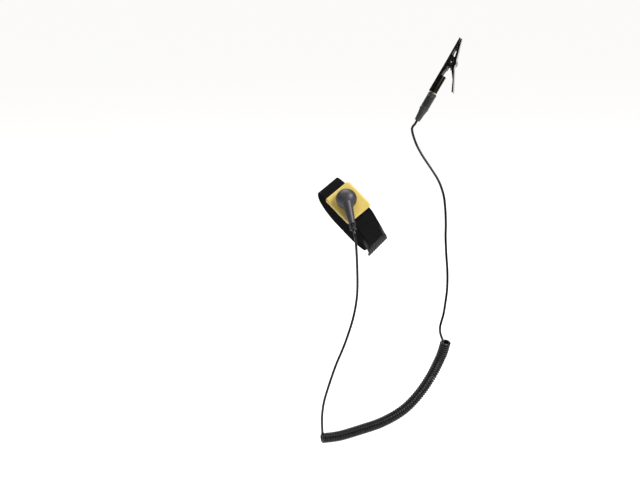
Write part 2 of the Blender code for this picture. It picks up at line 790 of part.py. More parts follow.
def make_clip(clip):
    """Fixed jaw, moving jaw, rivet, torsion spring and the sleeve that takes the plug."""
    fixed_back = [(-1.2 * MM, JAW_REACH), (-4.4 * MM, 0), (-9.3 * MM, -TAIL_REACH)]
    fixed = (
        [(-0.4 * MM, JAW_REACH)]
        + fixed_back
        + [(-6.4 * MM, -TAIL_REACH), (-3.4 * MM, -10 * MM)]
        + ear_arc(-110, 62)
        + [(-1.5 * MM, 6.2 * MM), (-1.2 * MM, 10.0 * MM)]
        + toothed_edge((-0.9 * MM, 10.4 * MM), (-0.4 * MM, JAW_REACH - 0.6 * MM), (0.5, 0))
    )
    inside = SHEET
    fixed_cavity = [
        (-1.2 * MM + inside, JAW_REACH - MM),
        (-4.4 * MM + inside, 0),
        (-9.5 * MM + inside, -TAIL_REACH - MM),
        (8 * MM, -TAIL_REACH - MM),
        (8 * MM, JAW_REACH - MM),
    ]
    channel("clip_jaw_fixed", fixed, fixed_cavity, FIXED_WIDTH, NICKEL, clip)
    moving = (
        [(1.2 * MM, JAW_REACH - 0.4 * MM), (0.6 * MM, JAW_REACH - 0.4 * MM)]
        + toothed_edge((0.6 * MM, JAW_REACH - 1.4 * MM), (0.2 * MM, 10.6 * MM), (-0.5, 0))
        + [(0.7 * MM, 10.2 * MM), (0.9 * MM, 5.4 * MM)]
        + [(0.6 * MM, 3.6 * MM), (-1.6 * MM, 2.4 * MM), (-2.4 * MM, 0), (-1.6 * MM, -2.6 * MM)]
        + [(1.4 * MM, -4.4 * MM), (5.9 * MM, -13 * MM), (9.0 * MM, -22.4 * MM)]
        + [(10.0 * MM, -22.4 * MM), (4.0 * MM, -4 * MM), (3.5 * MM, 2 * MM)]
    )
    moving_cavity = [
        (1.2 * MM - inside, JAW_REACH - 1.4 * MM),
        (3.5 * MM - inside, 2 * MM),
        (4.0 * MM - inside, -4 * MM),
        (10.2 * MM - inside, -24 * MM),
        (-6 * MM, -24 * MM),
        (-6 * MM, JAW_REACH - 1.4 * MM),
    ]
    channel("clip_jaw_moving", moving, moving_cavity, MOVING_WIDTH, NICKEL, clip)
    half = FIXED_WIDTH / 2 + 0.5 * MM
    rivet = turned(
        "clip_rivet",
        [
            (0, half + 0.5 * MM),
            (1.5 * MM, half + 0.4 * MM),
            (1.9 * MM, half - 0.2 * MM),
            (CLIP_RIVET, half - 0.2 * MM),
            (CLIP_RIVET, -half + 0.2 * MM),
            (1.9 * MM, -half + 0.2 * MM),
            (1.5 * MM, -half - 0.4 * MM),
            (0, -half - 0.5 * MM),
        ],
        20,
    )
    place(rivet, clip, BRIGHT_NICKEL, rotation=(math.pi / 2, 0, 0))
    place(torsion_spring(), clip, STEEL)
    top = SLEEVE_TOP
    mouth = -TAIL_REACH
    outer = SLEEVE_BORE + SLEEVE_WALL
    sleeve = turned(
        "clip_sleeve",
        [
            (SLEEVE_BORE, top - mouth),
            (outer, top - mouth),
            (outer, 0),
            (SLEEVE_BORE, 0),
            (SLEEVE_BORE, top - mouth),
        ],
        20,
    )
    place(sleeve, PLUG_FRAME, NICKEL)


def torsion_spring():
    """Two turns round the rivet, with a leg towards each handle."""
    wire = 0.35 * MM
    radius = 1.95 * MM
    turns = 2.11
    pitch = 2.6 * wire
    count = 34
    points = []
    for k in range(count + 1):
        angle = math.radians(-70) - TAU * turns * k / count
        y = pitch * turns * (k / count - 0.5)
        points.append((radius * math.cos(angle), y, radius * math.sin(angle)))
    first, last = Vector(points[0]), Vector(points[-1])
    points.insert(0, tuple(first + Vector((0.6 * MM, 0, -4.4 * MM))))
    points.append(tuple(last + Vector((-0.9 * MM, 0, -5.5 * MM))))
    return as_mesh(tube("clip_spring", points, wire, 1))


LOOP_CURVE = closed_curve(LOOP_OUTLINE)

clear_scene()
PARTS = collection("esd wrist strap")
CUTTERS = collection("cutters")
CUTTERS.hide_render = True

FABRIC = material("black elastic", (0.018, 0.018, 0.019), 0.9)
PILE = material("black pile", (0.010, 0.010, 0.012), 1.0)
HOOK = material("black hook tape", (0.014, 0.014, 0.015), 0.7)
GREY_KNIT = material("grey conductive knit", (0.16, 0.16, 0.18), 0.6)
YELLOW = material("yellow plastic", (0.80, 0.57, 0.16), 0.4)
BLACK_PLASTIC = material("black plastic", (0.015, 0.015, 0.016), 0.4)
CHARCOAL = material("charcoal rubber", (0.035, 0.034, 0.038), 0.45)
CORD_BLACK = material("black cord jacket", (0.012, 0.012, 0.013), 0.35)
STEEL = material("bright steel", (0.62, 0.62, 0.63), 0.25, 1.0)
NICKEL = material("dark nickel", (0.22, 0.22, 0.21), 0.22, 1.0)
BRIGHT_NICKEL = material("bright nickel", (0.7, 0.7, 0.68), 0.2, 1.0)
BRASS = material("brass", (0.70, 0.52, 0.24), 0.3, 1.0)
COPPER = material("tinned copper", (0.75, 0.66, 0.58), 0.35, 1.0)
RESISTOR_BLUE = material("resistor enamel", (0.22, 0.45, 0.60), 0.4)

WRIST_FRAME = frame_empty(
    "wrist_frame", None, (0, 0, 0), (FOREARM_RISE, PLATE_ROLL, FOREARM_HEADING - math.pi / 2), "YXZ"
)
SWIVEL_FRAME = frame_empty("swivel_axis", WRIST_FRAME, (SNAP_X, 0, 0))
NECK_FRAME = frame_empty("neck_frame", SWIVEL_FRAME, (0, 0, NECK_HEIGHT), (0, 0, NECK_ANGLE))
CLIP_FRAME = frame_empty(
    "jaw_axis", None, CLIP_PIVOT, (CLIP_LEAN, CLIP_TILT, CLIP_YAW), "ZYX"
)
PLUG_FRAME = frame_empty(
    "plug_axis", CLIP_FRAME, (SLEEVE_OFFSET, 0, -TAIL_REACH), (0, SLEEVE_ANGLE, 0)
)

make_band(WRIST_FRAME)
make_plate(WRIST_FRAME)
make_spring_ring(WRIST_FRAME)
head_shell(SWIVEL_FRAME)
make_snap_parts(SWIVEL_FRAME)
make_neck_parts(NECK_FRAME)
make_strain_relief(NECK_FRAME)
make_clip(CLIP_FRAME)
make_plug(PLUG_FRAME)
make_lead(None, NECK_FRAME)
bpy.context.view_layer.update()
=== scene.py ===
"""Dresses the ESD wrist strap: woven band, yellow plate, moulded head, curly lead, sheet-metal clip."""

import json
import math

import bmesh
import bpy
import numpy as np
from mathutils import Euler, Matrix, Vector

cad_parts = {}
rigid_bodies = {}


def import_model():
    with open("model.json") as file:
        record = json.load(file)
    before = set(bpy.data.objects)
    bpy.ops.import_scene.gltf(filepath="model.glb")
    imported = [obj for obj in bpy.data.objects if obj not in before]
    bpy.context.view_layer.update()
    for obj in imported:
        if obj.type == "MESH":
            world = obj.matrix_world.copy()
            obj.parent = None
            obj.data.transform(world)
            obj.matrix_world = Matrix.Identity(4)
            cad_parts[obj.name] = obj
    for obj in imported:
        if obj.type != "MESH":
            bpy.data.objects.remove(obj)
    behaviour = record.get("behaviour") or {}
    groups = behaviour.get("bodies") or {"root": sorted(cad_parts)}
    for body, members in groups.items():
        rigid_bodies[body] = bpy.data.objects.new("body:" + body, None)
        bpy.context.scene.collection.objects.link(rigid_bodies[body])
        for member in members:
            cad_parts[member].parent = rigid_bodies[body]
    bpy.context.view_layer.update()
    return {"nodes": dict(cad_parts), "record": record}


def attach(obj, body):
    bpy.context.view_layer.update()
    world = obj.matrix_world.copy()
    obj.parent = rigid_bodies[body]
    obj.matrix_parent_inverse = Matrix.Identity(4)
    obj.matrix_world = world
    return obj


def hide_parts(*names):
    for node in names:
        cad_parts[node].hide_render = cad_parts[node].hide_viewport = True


for thing in list(bpy.data.objects):
    bpy.data.objects.remove(thing, do_unlink=True)

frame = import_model()
record = frame["record"]

MM = 0.001
TAU = 2 * math.pi
X, Y, Z = Vector((1, 0, 0)), Vector((0, 1, 0)), Vector((0, 0, 1))

# ---------------------------------------------------------------- camera, floor and light

CAMERA_RISE = math.radians(10)
CAMERA_SIDE, CAMERA_UP, CAMERA_BACK = -25.9 * MM, -19.3 * MM, 1422 * MM
FOCAL_LENGTH, SENSOR_WIDTH = 100, 36
FLOOR_HEIGHT, FLOOR_REACH = -0.20, 20
STRAP_MIDDLE = Vector((0.03, -0.01, 0))


def make_camera():
    """The photo's view: long lens, a little above the level, looking along +Y."""
    back = Vector((0, -math.cos(CAMERA_RISE), math.sin(CAMERA_RISE)))
    up = Vector((0, math.sin(CAMERA_RISE), math.cos(CAMERA_RISE)))
    lens = bpy.data.cameras.new("camera")
    lens.lens = FOCAL_LENGTH
    lens.sensor_width = SENSOR_WIDTH
    lens.clip_start = 0.01
    camera = bpy.data.objects.new("camera", lens)
    camera.location = X * CAMERA_SIDE + up * CAMERA_UP + back * CAMERA_BACK
    camera.rotation_euler = (math.pi / 2 - CAMERA_RISE, 0, 0)
    bpy.context.scene.collection.objects.link(camera)
    bpy.context.scene.camera = camera


def add_light(name, kind, towards, energy, size, distance=1.0):
    """A light on the line from the middle of the strap towards the given direction."""
    lamp = bpy.data.lights.new(name, kind)
    lamp.energy = energy
    if kind == "AREA":
        lamp.size = size
    else:
        lamp.angle = size
    holder = bpy.data.objects.new(name, lamp)
    direction = Vector(towards).normalized()
    holder.location = STRAP_MIDDLE + direction * distance
    holder.rotation_euler = direction.to_track_quat("Z", "Y").to_euler()
    bpy.context.scene.collection.objects.link(holder)


def make_studio():
    """An even pale surround, one soft sun, two softboxes and a pale floor."""
    scene = bpy.context.scene
    scene.view_settings.view_transform = "Standard"
    world = bpy.data.worlds.new("studio")
    world.use_nodes = True
    background = world.node_tree.nodes["Background"]
    background.inputs["Color"].default_value = (1.0, 0.995, 0.985, 1)
    background.inputs["Strength"].default_value = 0.30
    scene.world = world
    add_light("sun", "SUN", (0.75, -0.55, 0.95), 3.25, size=math.radians(24))
    add_light("key softbox", "AREA", (0.9, -0.9, 1.0), 4, distance=1.3, size=0.5)
    add_light("overhead softbox", "AREA", (-0.2, 0.35, 1.0), 15, distance=1.3, size=0.9)
    signs = ((-1, -1), (1, -1), (1, 1), (-1, 1))
    corners = [(x * FLOOR_REACH, y * FLOOR_REACH, FLOOR_HEIGHT) for x, y in signs]
    mesh = bpy.data.meshes.new("floor")
    mesh.from_pydata(corners, [], [(0, 1, 2, 3)])
    floor = bpy.data.objects.new("floor", mesh)
    scene.collection.objects.link(floor)
    paper = bpy.data.materials.new("pale floor")
    paper.use_nodes = True
    shader = paper.node_tree.nodes["Principled BSDF"]
    shader.inputs["Base Color"].default_value = (0.93, 0.925, 0.915, 1)
    shader.inputs["Roughness"].default_value = 0.95
    shader.inputs["Specular IOR Level"].default_value = 0.0
    floor.data.materials.append(paper)


make_camera()
make_studio()

# ---------------------------------------------------------------- frames, the same as the CAD model's


def joint(name):
    return next(j for j in record["behaviour"]["joints"] if j["name"] == name)


def turned_frame(location, euler):
    return Matrix.Translation(location) @ euler.to_matrix().to_4x4()


def wrist_frame():
    """+X along the band towards its tail, +Y along the forearm, +Z out through the snap."""
    along_arm = Vector(next(m for m in record["mounts"] if m["name"] == "wrist")["axis"]).normalized()
    outward = Vector(joint("snap_pull")["axis"]).normalized()
    side = along_arm.cross(outward).normalized()
    outward = side.cross(along_arm)
    return Matrix((side, along_arm, outward)).transposed().to_4x4()


PLATE_X = -2.6 * MM
SNAP_X = -4.2 * MM
NECK_HEIGHT = 29.3 * MM
NECK_ANGLE = math.radians(-29)
CLIP_TILT = math.radians(20.5)
CLIP_LEAN = math.radians(-10)
CLIP_YAW = math.radians(-15)
TAIL_REACH = 27 * MM
SLEEVE_OFFSET = -5.7 * MM
SLEEVE_ANGLE = math.radians(10.2)
PLUG_BODY_LENGTH = 26 * MM

WRIST = wrist_frame()
SWIVEL = WRIST @ Matrix.Translation((SNAP_X, 0, 0))
NECK = SWIVEL @ Matrix.Translation((0, 0, NECK_HEIGHT)) @ Matrix.Rotation(NECK_ANGLE, 4, "Z")
CLIP = turned_frame(Vector(joint("jaw_open")["pos_m"]), Euler((CLIP_LEAN, CLIP_TILT, CLIP_YAW), "ZYX"))
PLUG = CLIP @ Matrix.Translation((SLEEVE_OFFSET, 0, -TAIL_REACH)) @ Matrix.Rotation(SLEEVE_ANGLE, 4, "Y")

# ---------------------------------------------------------------- mesh helpers

ROUTE_SPAN_POINTS = 16


def smoothstep(low, high, value):
    """0 at low, 1 at high, also where low is above high."""
    t = min(1.0, max(0.0, (value - low) / (high - low)))
    return t * t * (3 - 2 * t)


def curve_point(a, b, c, d, t):
    """The point at share t of the way from b to c, on the smooth curve through all four."""
    bend = (2 * a - 5 * b + 4 * c - d) * t**2 + (3 * b - a - 3 * c + d) * t**3
    return 0.5 * (2 * b + (c - a) * t + bend)


def smooth_route(points, step):
    """Points a step apart on a smooth curve through the given ones."""
    ways = [Vector(p) for p in points]
    ways = [2 * ways[0] - ways[1]] + ways + [2 * ways[-1] - ways[-2]]
    fine = []
    for i in range(1, len(ways) - 2):
        fine += [curve_point(*ways[i - 1 : i + 3], k / ROUTE_SPAN_POINTS) for k in range(ROUTE_SPAN_POINTS)]
    fine.append(ways[-2])
    return respaced(fine, step)


def respaced(fine, step):
    """Points about a step apart along the polyline, both its ends kept."""
    points = np.array([tuple(p) for p in fine])
    along = np.concatenate([[0], np.cumsum(np.linalg.norm(np.diff(points, axis=0), axis=1))])
    count = max(2, round(along[-1] / step))
    at = np.linspace(0, along[-1], count + 1)
    return [Vector([float(np.interp(s, along, points[:, k])) for k in range(3)]) for s in at]


def along_length(points):
    """How far along the polyline each of its points lies."""
    lengths = [0.0]
    for p, q in zip(points, points[1:]):
        lengths.append(lengths[-1] + (q - p).length)
    return lengths


def tangents(points):
    """The direction of the polyline at each of its points."""
    found = []
    for i in range(len(points)):
        a = points[max(0, i - 1)]
        b = points[min(len(points) - 1, i + 1)]
        found.append((b - a).normalized())
    return found


def carried_sides(points, first):
    """A side vector at each point, carried along the route without twist."""
    ways = tangents(points)
    side = (first - ways[0] * first.dot(ways[0])).normalized()
    sides = [side]
    for before, after in zip(ways, ways[1:]):
        side = before.rotation_difference(after) @ side
        side = (side - after * side.dot(after)).normalized()
        sides.append(side)
    return sides, ways


def object_from(name, vertices, faces, matrix, smooth_angle, lay=None):
    """A smooth mesh object, sharp past the angle, with an optional "lay" coordinate for its material."""
    mesh = bpy.data.meshes.new(name)
    mesh.from_pydata([tuple(v) for v in vertices], [], faces)
    if lay is not None:
        layer = mesh.attributes.new("lay", "FLOAT_VECTOR", "POINT")
        layer.data.foreach_set("vector", np.array(lay, np.float32).ravel())
    work = bmesh.new()
    work.from_mesh(mesh)
    bmesh.ops.recalc_face_normals(work, faces=work.faces)
    work.to_mesh(mesh)
    work.free()
    mesh.shade_smooth()
    mesh.set_sharp_from_angle(angle=math.radians(smooth_angle))
    obj = bpy.data.objects.new(name, mesh)
    bpy.context.scene.collection.objects.link(obj)
    obj.matrix_world = matrix
    return obj


def rings_to_faces(ring_count, ring_size):
    """Faces of a closed skin over rings of points, capped at both ends."""
    faces = []
    for i in range(ring_count - 1):
        for j in range(ring_size):
            k = (j + 1) % ring_size
            a, b = i * ring_size, (i + 1) * ring_size
            faces.append((a + j, a + k, b + k, b + j))
    faces.append(tuple(range(ring_size))[::-1])
    faces.append(tuple(range((ring_count - 1) * ring_size, ring_count * ring_size)))
    return faces


def tube(name, points, radius, sides, matrix, first):
    """A round tube along the points; its lay runs along it, then across it."""
    across, ways = carried_sides(points, first)
    lengths = along_length(points)
    vertices, lay = [], []
    for i, point in enumerate(points):
        other = ways[i].cross(across[i])
        for j in range(sides):
            angle = TAU * j / sides
            vertices.append(point + (across[i] * math.cos(angle) + other * math.sin(angle)) * radius)
            lay.append((lengths[i], radius * math.sin(angle), radius * math.cos(angle)))
    return object_from(name, vertices, rings_to_faces(len(points), sides), matrix, 50, lay)


def turned(name, profile, matrix, steps=48, smooth_angle=35):
    """A solid of revolution about Z, from points of (radius, height) in mm.

    A profile that starts and ends on the axis is closed by it; any other closes on itself.
    """
    on_axis = abs(profile[0][0]) < 1e-9 and abs(profile[-1][0]) < 1e-9
    vertices, faces, rows = [], [], []
    for r, z in profile:
        if abs(r) < 1e-9:
            rows.append([len(vertices)])
            vertices.append((0, 0, z * MM))
            continue
        row = []
        for j in range(steps):
            angle = TAU * j / steps
            row.append(len(vertices))
            vertices.append((r * MM * math.cos(angle), r * MM * math.sin(angle), z * MM))
        rows.append(row)
    pairs = list(zip(rows, rows[1:]))
    if not on_axis:
        pairs.append((rows[-1], rows[0]))
    for a, b in pairs:
        for j in range(steps):
            k = (j + 1) % steps
            if len(a) == 1:
                faces.append((a[0], b[j], b[k]))
            elif len(b) == 1:
                faces.append((a[j], a[k], b[0]))
            else:
                faces.append((a[j], a[k], b[k], b[j]))
    return object_from(name, vertices, faces, matrix, smooth_angle)


# ---------------------------------------------------------------- materials


class Look:
    """Builds one procedural material from small parts."""

    def __init__(self, name, roughness=0.5, metallic=0.0, **sockets):
        self.material = bpy.data.materials.new(name)
        self.material.use_nodes = True
        self.nodes = self.material.node_tree.nodes
        self.links = self.material.node_tree.links
        self.shader = self.nodes["Principled BSDF"]
        self.shader.inputs["Roughness"].default_value = roughness
        self.shader.inputs["Metallic"].default_value = metallic
        for socket, value in sockets.items():
            self.shader.inputs[socket.replace("_", " ")].default_value = value
        self.height = None

    def add(self, kind, inputs=None, **settings):
        """A node of the kind, with its settings, and each input linked or set."""
        node = self.nodes.new(kind)
        for key, value in settings.items():
            setattr(node, key, value)
        for key, value in (inputs or {}).items():
            if isinstance(value, bpy.types.NodeSocket):
                self.links.new(value, node.inputs[key])
            else:
                node.inputs[key].default_value = value
        return node

    def where(self, scale=(1, 1, 1), lay=False, turn=0.0):
        """Coordinates in millimetres: the piece's own, or the ones laid along a strip or tube."""
        if lay:
            start = self.add("ShaderNodeAttribute", attribute_name="lay").outputs["Vector"]
        else:
            start = self.add("ShaderNodeTexCoord").outputs["Object"]
        stretch = [1000 * s for s in scale]
        inputs = {"Vector": start, "Scale": stretch, "Rotation": (0, 0, turn)}
        return self.add("ShaderNodeMapping", inputs).outputs["Vector"]

    def noise(self, per_mm, detail=3.0, rough=0.55, where=None):
        inputs = {"Vector": where or self.where(), "Scale": per_mm}
        inputs.update({"Detail": detail, "Roughness": rough})
        return self.add("ShaderNodeTexNoise", inputs).outputs["Fac"]

    def cells(self, per_mm, where):
        inputs = {"Vector": where, "Scale": per_mm}
        return self.add("ShaderNodeTexVoronoi", inputs).outputs["Distance"]

    def waves(self, pitch_mm, where, axis, distortion=0.0):
        """A sine stripe pattern of the given pitch."""
        scale = TAU / pitch_mm / 20
        inputs = {"Vector": where, "Scale": scale, "Distortion": distortion, "Detail": 0.0}
        made = self.add("ShaderNodeTexWave", inputs, wave_type="BANDS", bands_direction=axis)
        return made.outputs["Fac"]

    def math(self, operation, a, b):
        return self.add("ShaderNodeMath", {0: a, 1: b}, operation=operation).outputs["Value"]

    def spread(self, value, low, high, from_low=0.0, from_high=1.0):
        """Maps a pattern's range onto another one."""
        inputs = {"Value": value, "From Min": from_low, "From Max": from_high}
        inputs.update({"To Min": low, "To Max": high})
        return self.add("ShaderNodeMapRange", inputs).outputs["Result"]

    def blend(self, share, a, b):
        """Colour a where the share is 0, b where it is 1; each is a fixed colour or a pattern."""
        node = self.add("ShaderNodeMix", data_type="RGBA")
        for key, value in ((0, share), (6, a), (7, b)):
            if isinstance(value, bpy.types.NodeSocket):
                self.links.new(value, node.inputs[key])
            else:
                node.inputs[key].default_value = value if key == 0 else (*value, 1)
        return node.outputs[2]

    def colour(self, value):
        self.links.new(value, self.shader.inputs["Base Color"])

    def roughness(self, value):
        self.links.new(value, self.shader.inputs["Roughness"])

    def bump(self, value, depth_mm, strength=1.0):
        """Adds relief of the given depth, on top of any before it."""
        inputs = {"Height": value, "Distance": depth_mm * MM, "Strength": strength}
        if self.height is not None:
            inputs["Normal"] = self.height
        self.height = self.add("ShaderNodeBump", inputs).outputs["Normal"]
        self.links.new(self.height, self.shader.inputs["Normal"])


def moulded(name, dark, light, rough, grain_per_mm=6.0, grain_mm=0.012, **sockets):
    """Moulded plastic or rubber: faint mottling, fine grain, and hazy handling marks."""
    look = Look(name, rough, **sockets)
    mottle = look.noise(0.35, 4)
    look.colour(look.blend(mottle, dark, light))
    haze = look.noise(0.8, 5, 0.7)
    look.roughness(look.spread(haze, rough - 0.09, rough + 0.12, 0.3, 0.7))
    look.bump(look.noise(grain_per_mm, 4, 0.6), grain_mm)
    look.bump(look.noise(0.25, 2), 0.05, 0.5)
    return look.material


def metal(name, colour, worn, rough):
    """Plated or turned metal: tarnish clouds, fine directional scratches, varied gloss."""
    look = Look(name, rough, 1.0)
    cloud = look.noise(0.5, 5, 0.65)
    look.colour(look.blend(look.spread(cloud, 0, 1, 0.35, 0.75), colour, worn))
    streak = look.noise(1.6, 6, 0.7, look.where((1, 1, 12)))
    look.roughness(look.spread(streak, rough - 0.07, rough + 0.15, 0.25, 0.75))
    look.bump(streak, 0.004)
    look.bump(look.noise(0.9, 3), 0.01, 0.6)
    return look.material


def cord_look():
    """Black jacket with the faint streaks of its drawing, and a little dust."""
    look = Look("black cord jacket", 0.24, Specular_IOR_Level=0.32)
    lay = look.where(lay=True)
    dust = look.noise(0.7, 5, 0.7)
    tone = look.spread(dust, 0, 1, 0.35, 0.8)
    look.colour(look.blend(tone, (0.001, 0.001, 0.0012), (0.003, 0.003, 0.0035)))
    drawn = look.noise(2.2, 4, 0.6, look.where((0.15, 2.5, 2.5), lay=True))
    look.roughness(look.spread(drawn, 0.18, 0.30, 0.3, 0.7))
    look.bump(drawn, 0.012)
    look.bump(look.noise(0.6, 2, 0.5, lay), 0.02, 0.6)
    return look.material


def elastic_look():
    """Knitted elastic: rib lines along the strip, crossed by fine stitches; paler at the tail's end."""
    look = Look("black knitted elastic", 0.85, Specular_IOR_Level=0.04)
    lay = look.where(lay=True)
    ribs = look.waves(0.8, lay, "Y")
    stitches = look.waves(0.45, lay, "X", 0.6)
    weave = look.math("MULTIPLY", ribs, stitches)
    fleck = look.noise(1.8, 4, 0.7, lay)
    tone = look.math("ADD", look.math("MULTIPLY", weave, 0.6), look.spread(fleck, 0, 0.5, 0.35, 0.75))
    dark = look.blend(tone, (0.002, 0.002, 0.0024), (0.012, 0.012, 0.0125))
    pale = look.blend(tone, (0.026, 0.025, 0.020), (0.075, 0.072, 0.058))
    along = look.add("ShaderNodeSeparateXYZ", {0: lay}).outputs["X"]
    look.colour(look.blend(look.spread(along, 1, 0, 17, 23), dark, pale))
    look.roughness(look.spread(fleck, 0.75, 0.95))
    look.bump(weave, 0.18)
    look.bump(look.noise(7, 3, 0.6, lay), 0.05, 0.8)
    return look.material


def pile_look():
    """Dense loop pile: matte, with a broken surface of tiny loops."""
    look = Look("black loop pile", 0.95, Specular_IOR_Level=0.04)
    lay = look.where(lay=True)
    loops = look.cells(2.6, lay)
    tuft = look.noise(0.9, 4, 0.7, lay)
    tone = look.math("ADD", look.math("MULTIPLY", loops, 0.5), look.spread(tuft, 0, 0.6, 0.35, 0.75))
    look.colour(look.blend(tone, (0.002, 0.002, 0.0023), (0.011, 0.011, 0.012)))
    look.bump(loops, 0.25)
    look.bump(look.noise(6, 3, 0.7, lay), 0.1, 0.9)
    return look.material


def knit_look():
    """Grey conductive knit: ribs along the strip, fine stitches across them, silver thread."""
    look = Look("grey conductive knit", 0.62, Specular_IOR_Level=0.1)
    lay = look.where(lay=True, turn=math.radians(6))
    ribs = look.waves(2.0, lay, "Y")
    stitches = look.waves(0.5, lay, "X", 0.8)
    fleck = look.noise(3.0, 4, 0.7, lay)
    tone = look.math("ADD", look.math("MULTIPLY", ribs, 0.7), look.spread(fleck, -0.1, 0.35))
    look.colour(look.blend(tone, (0.003, 0.003, 0.004), (0.054, 0.052, 0.058)))
    look.roughness(look.spread(stitches, 0.5, 0.75))
    look.bump(stitches, 0.12)
    look.bump(look.noise(8, 3, 0.6, lay), 0.04, 0.8)
    return look.material


def yellow_look():
    """Warm yellow plastic, faintly uneven, with a thin gloss over it."""
    look = Look("yellow moulded plastic", 0.38, Coat_Weight=0.15, Coat_Roughness=0.2)
    mottle = look.noise(0.12, 3)
    look.colour(look.blend(mottle, (0.50, 0.36, 0.070), (0.56, 0.425, 0.115)))
    haze = look.noise(0.6, 5, 0.7)
    look.roughness(look.spread(haze, 0.3, 0.48, 0.3, 0.7))
    look.bump(look.noise(5, 4, 0.6), 0.012)
    look.bump(look.noise(0.2, 2), 0.05, 0.5)
    return look.material


def thread_look():
    """Twisted sewing thread."""
    look = Look("black sewing thread", 0.7, Sheen_Weight=0.4, Sheen_Roughness=0.4)
    twist = look.waves(0.28, look.where((1, 1, 0), lay=True, turn=math.radians(35)), "X")
    look.colour(look.blend(twist, (0.010, 0.010, 0.011), (0.05, 0.05, 0.052)))
    look.bump(twist, 0.05)
    return look.material


def resistor_look():
    """Blue enamel, with a faint orange-peel surface."""
    look = Look("resistor enamel", 0.35, Coat_Weight=0.3)
    mottle = look.noise(1.0, 3)
    look.colour(look.blend(mottle, (0.15, 0.36, 0.52), (0.22, 0.46, 0.62)))
    look.roughness(look.spread(look.noise(2.0, 3), 0.28, 0.42))
    look.bump(look.noise(4.0, 3), 0.02)
    return look.material


ELASTIC = elastic_look()
PILE = pile_look()
KNIT = knit_look()
YELLOW = yellow_look()
THREAD = thread_look()
CORD = cord_look()
RUBBER = moulded("charcoal rubber", (0.015, 0.013, 0.018), (0.025, 0.023, 0.028), 0.47, 7.0, 0.012)
DARK_RUBBER = moulded(
    "dark rubber", (0.004, 0.004, 0.005), (0.010, 0.010, 0.011), 0.48, 7.0, 0.012, Specular_IOR_Level=0.3
)
BLACK_PLASTIC = moulded("black plastic", (0.010, 0.010, 0.011), (0.020, 0.020, 0.021), 0.4)
HOOK = moulded("black hook tape", (0.008, 0.008, 0.009), (0.022, 0.022, 0.023), 0.6, 3.0, 0.1)
STEEL = metal("bright steel", (0.62, 0.62, 0.63), (0.48, 0.47, 0.46), 0.22)
# The clip's nickel painted nearly black: a painted dark reflection of the surroundings, not a black finish.
NICKEL_PAINTED_DARK = metal("dark nickel", (0.012, 0.012, 0.010), (0.040, 0.038, 0.032), 0.17)
# The same nickel painted pale: a painted reflection of bright surroundings, for the jaws' inner faces and
# the moving jaw's right-hand back.
NICKEL_PAINTED_PALE = metal("nickel painted pale as reflection", (0.62, 0.62, 0.60), (0.42, 0.41, 0.39), 0.3)
# The same nickel, lighter: a painted highlight for the rivet's dome.
NICKEL_PAINTED_HIGHLIGHT = metal("bright nickel", (0.22, 0.22, 0.21), (0.12, 0.12, 0.11), 0.3)
BRASS = metal("brass", (0.72, 0.53, 0.25), (0.45, 0.31, 0.14), 0.26)
COPPER = metal("tinned copper", (0.72, 0.64, 0.57), (0.5, 0.44, 0.4), 0.34)
ENAMEL = resistor_look()


def finish_piece(obj, material, body, slot, *stands_for):
    """Gives a new piece its material, its body and the CAD nodes that it stands for."""
    obj.data.materials.clear()
    obj.data.materials.append(material)
    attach(obj, body)
    if stands_for:
        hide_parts(*stands_for)
    return obj


def repaint(node, material):
    """Gives a CAD object that keeps its shape a new material."""
    carried = frame["nodes"][node]
    if not carried.material_slots:
        carried.data.materials.append(material)
    for slot in carried.material_slots:
        slot.material = material


# ---------------------------------------------------------------- lead

CORD_RADIUS = 1.0 * MM
COIL_TURN_RADIUS = 3.35 * MM
COIL_TURNS = 67.625
COIL_MARGIN = 1.0 * MM
POINTS_A_TURN = 24

UPPER_ROUTE = [
    (0.0019, -0.0402, -0.0132),
    (0.0027, -0.0404, -0.0240),
    (0.0032, -0.0405, -0.0363),
    (0.0034, -0.0407, -0.0492),
    (0.0026, -0.0411, -0.0610),
    (-0.0003, -0.0420, -0.0759),
    (-0.0063, -0.0430, -0.0945),
    (-0.0136, -0.0440, -0.1124),
    (-0.0191, -0.0447, -0.1286),
    (-0.0227, -0.0450, -0.1411),
    (-0.0242, -0.0450, -0.1519),
    (-0.0243, -0.0447, -0.1600),
    (-0.0240, -0.0441, -0.1664),
]

COIL_ROUTE = [
    (-0.0253, -0.0440, -0.1713),
    (-0.0175, -0.0430, -0.1708),
    (-0.0094, -0.0420, -0.1697),
    (0.0069, -0.0380, -0.1658),
    (0.0232, -0.0335, -0.1613),
    (0.0396, -0.0285, -0.1532),
    (0.0520, -0.0245, -0.1420),
    (0.0626, -0.0220, -0.1271),
    (0.0698, -0.0222, -0.1121),
    (0.0722, -0.0240, -0.1049),
    (0.0740, -0.0280, -0.0961),
]

LOWER_ROUTE = [
    (0.0712, -0.0298, -0.0944),
    (0.0697, -0.0306, -0.0905),
    (0.0690, -0.0308, -0.0862),
    (0.0695, -0.0303, -0.0820),
    (0.0718, -0.0280, -0.0746),
    (0.0734, -0.0250, -0.0660),
    (0.0748, -0.0220, -0.0566),
    (0.0753, -0.0190, -0.0479),
    (0.0752, -0.0160, -0.0391),
    (0.0746, -0.0125, -0.0289),
    (0.0742, -0.0080, -0.0158),
    (0.0745, -0.0045, -0.0056),
    (0.0741, -0.0012, 0.0062),
    (0.0727, 0.0008, 0.0170),
    (0.0690, 0.0034, 0.0275),
    (0.0628, 0.0062, 0.0375),
    (0.0560, 0.0090, 0.0475),
    (0.0507, 0.0118, 0.0575),
]


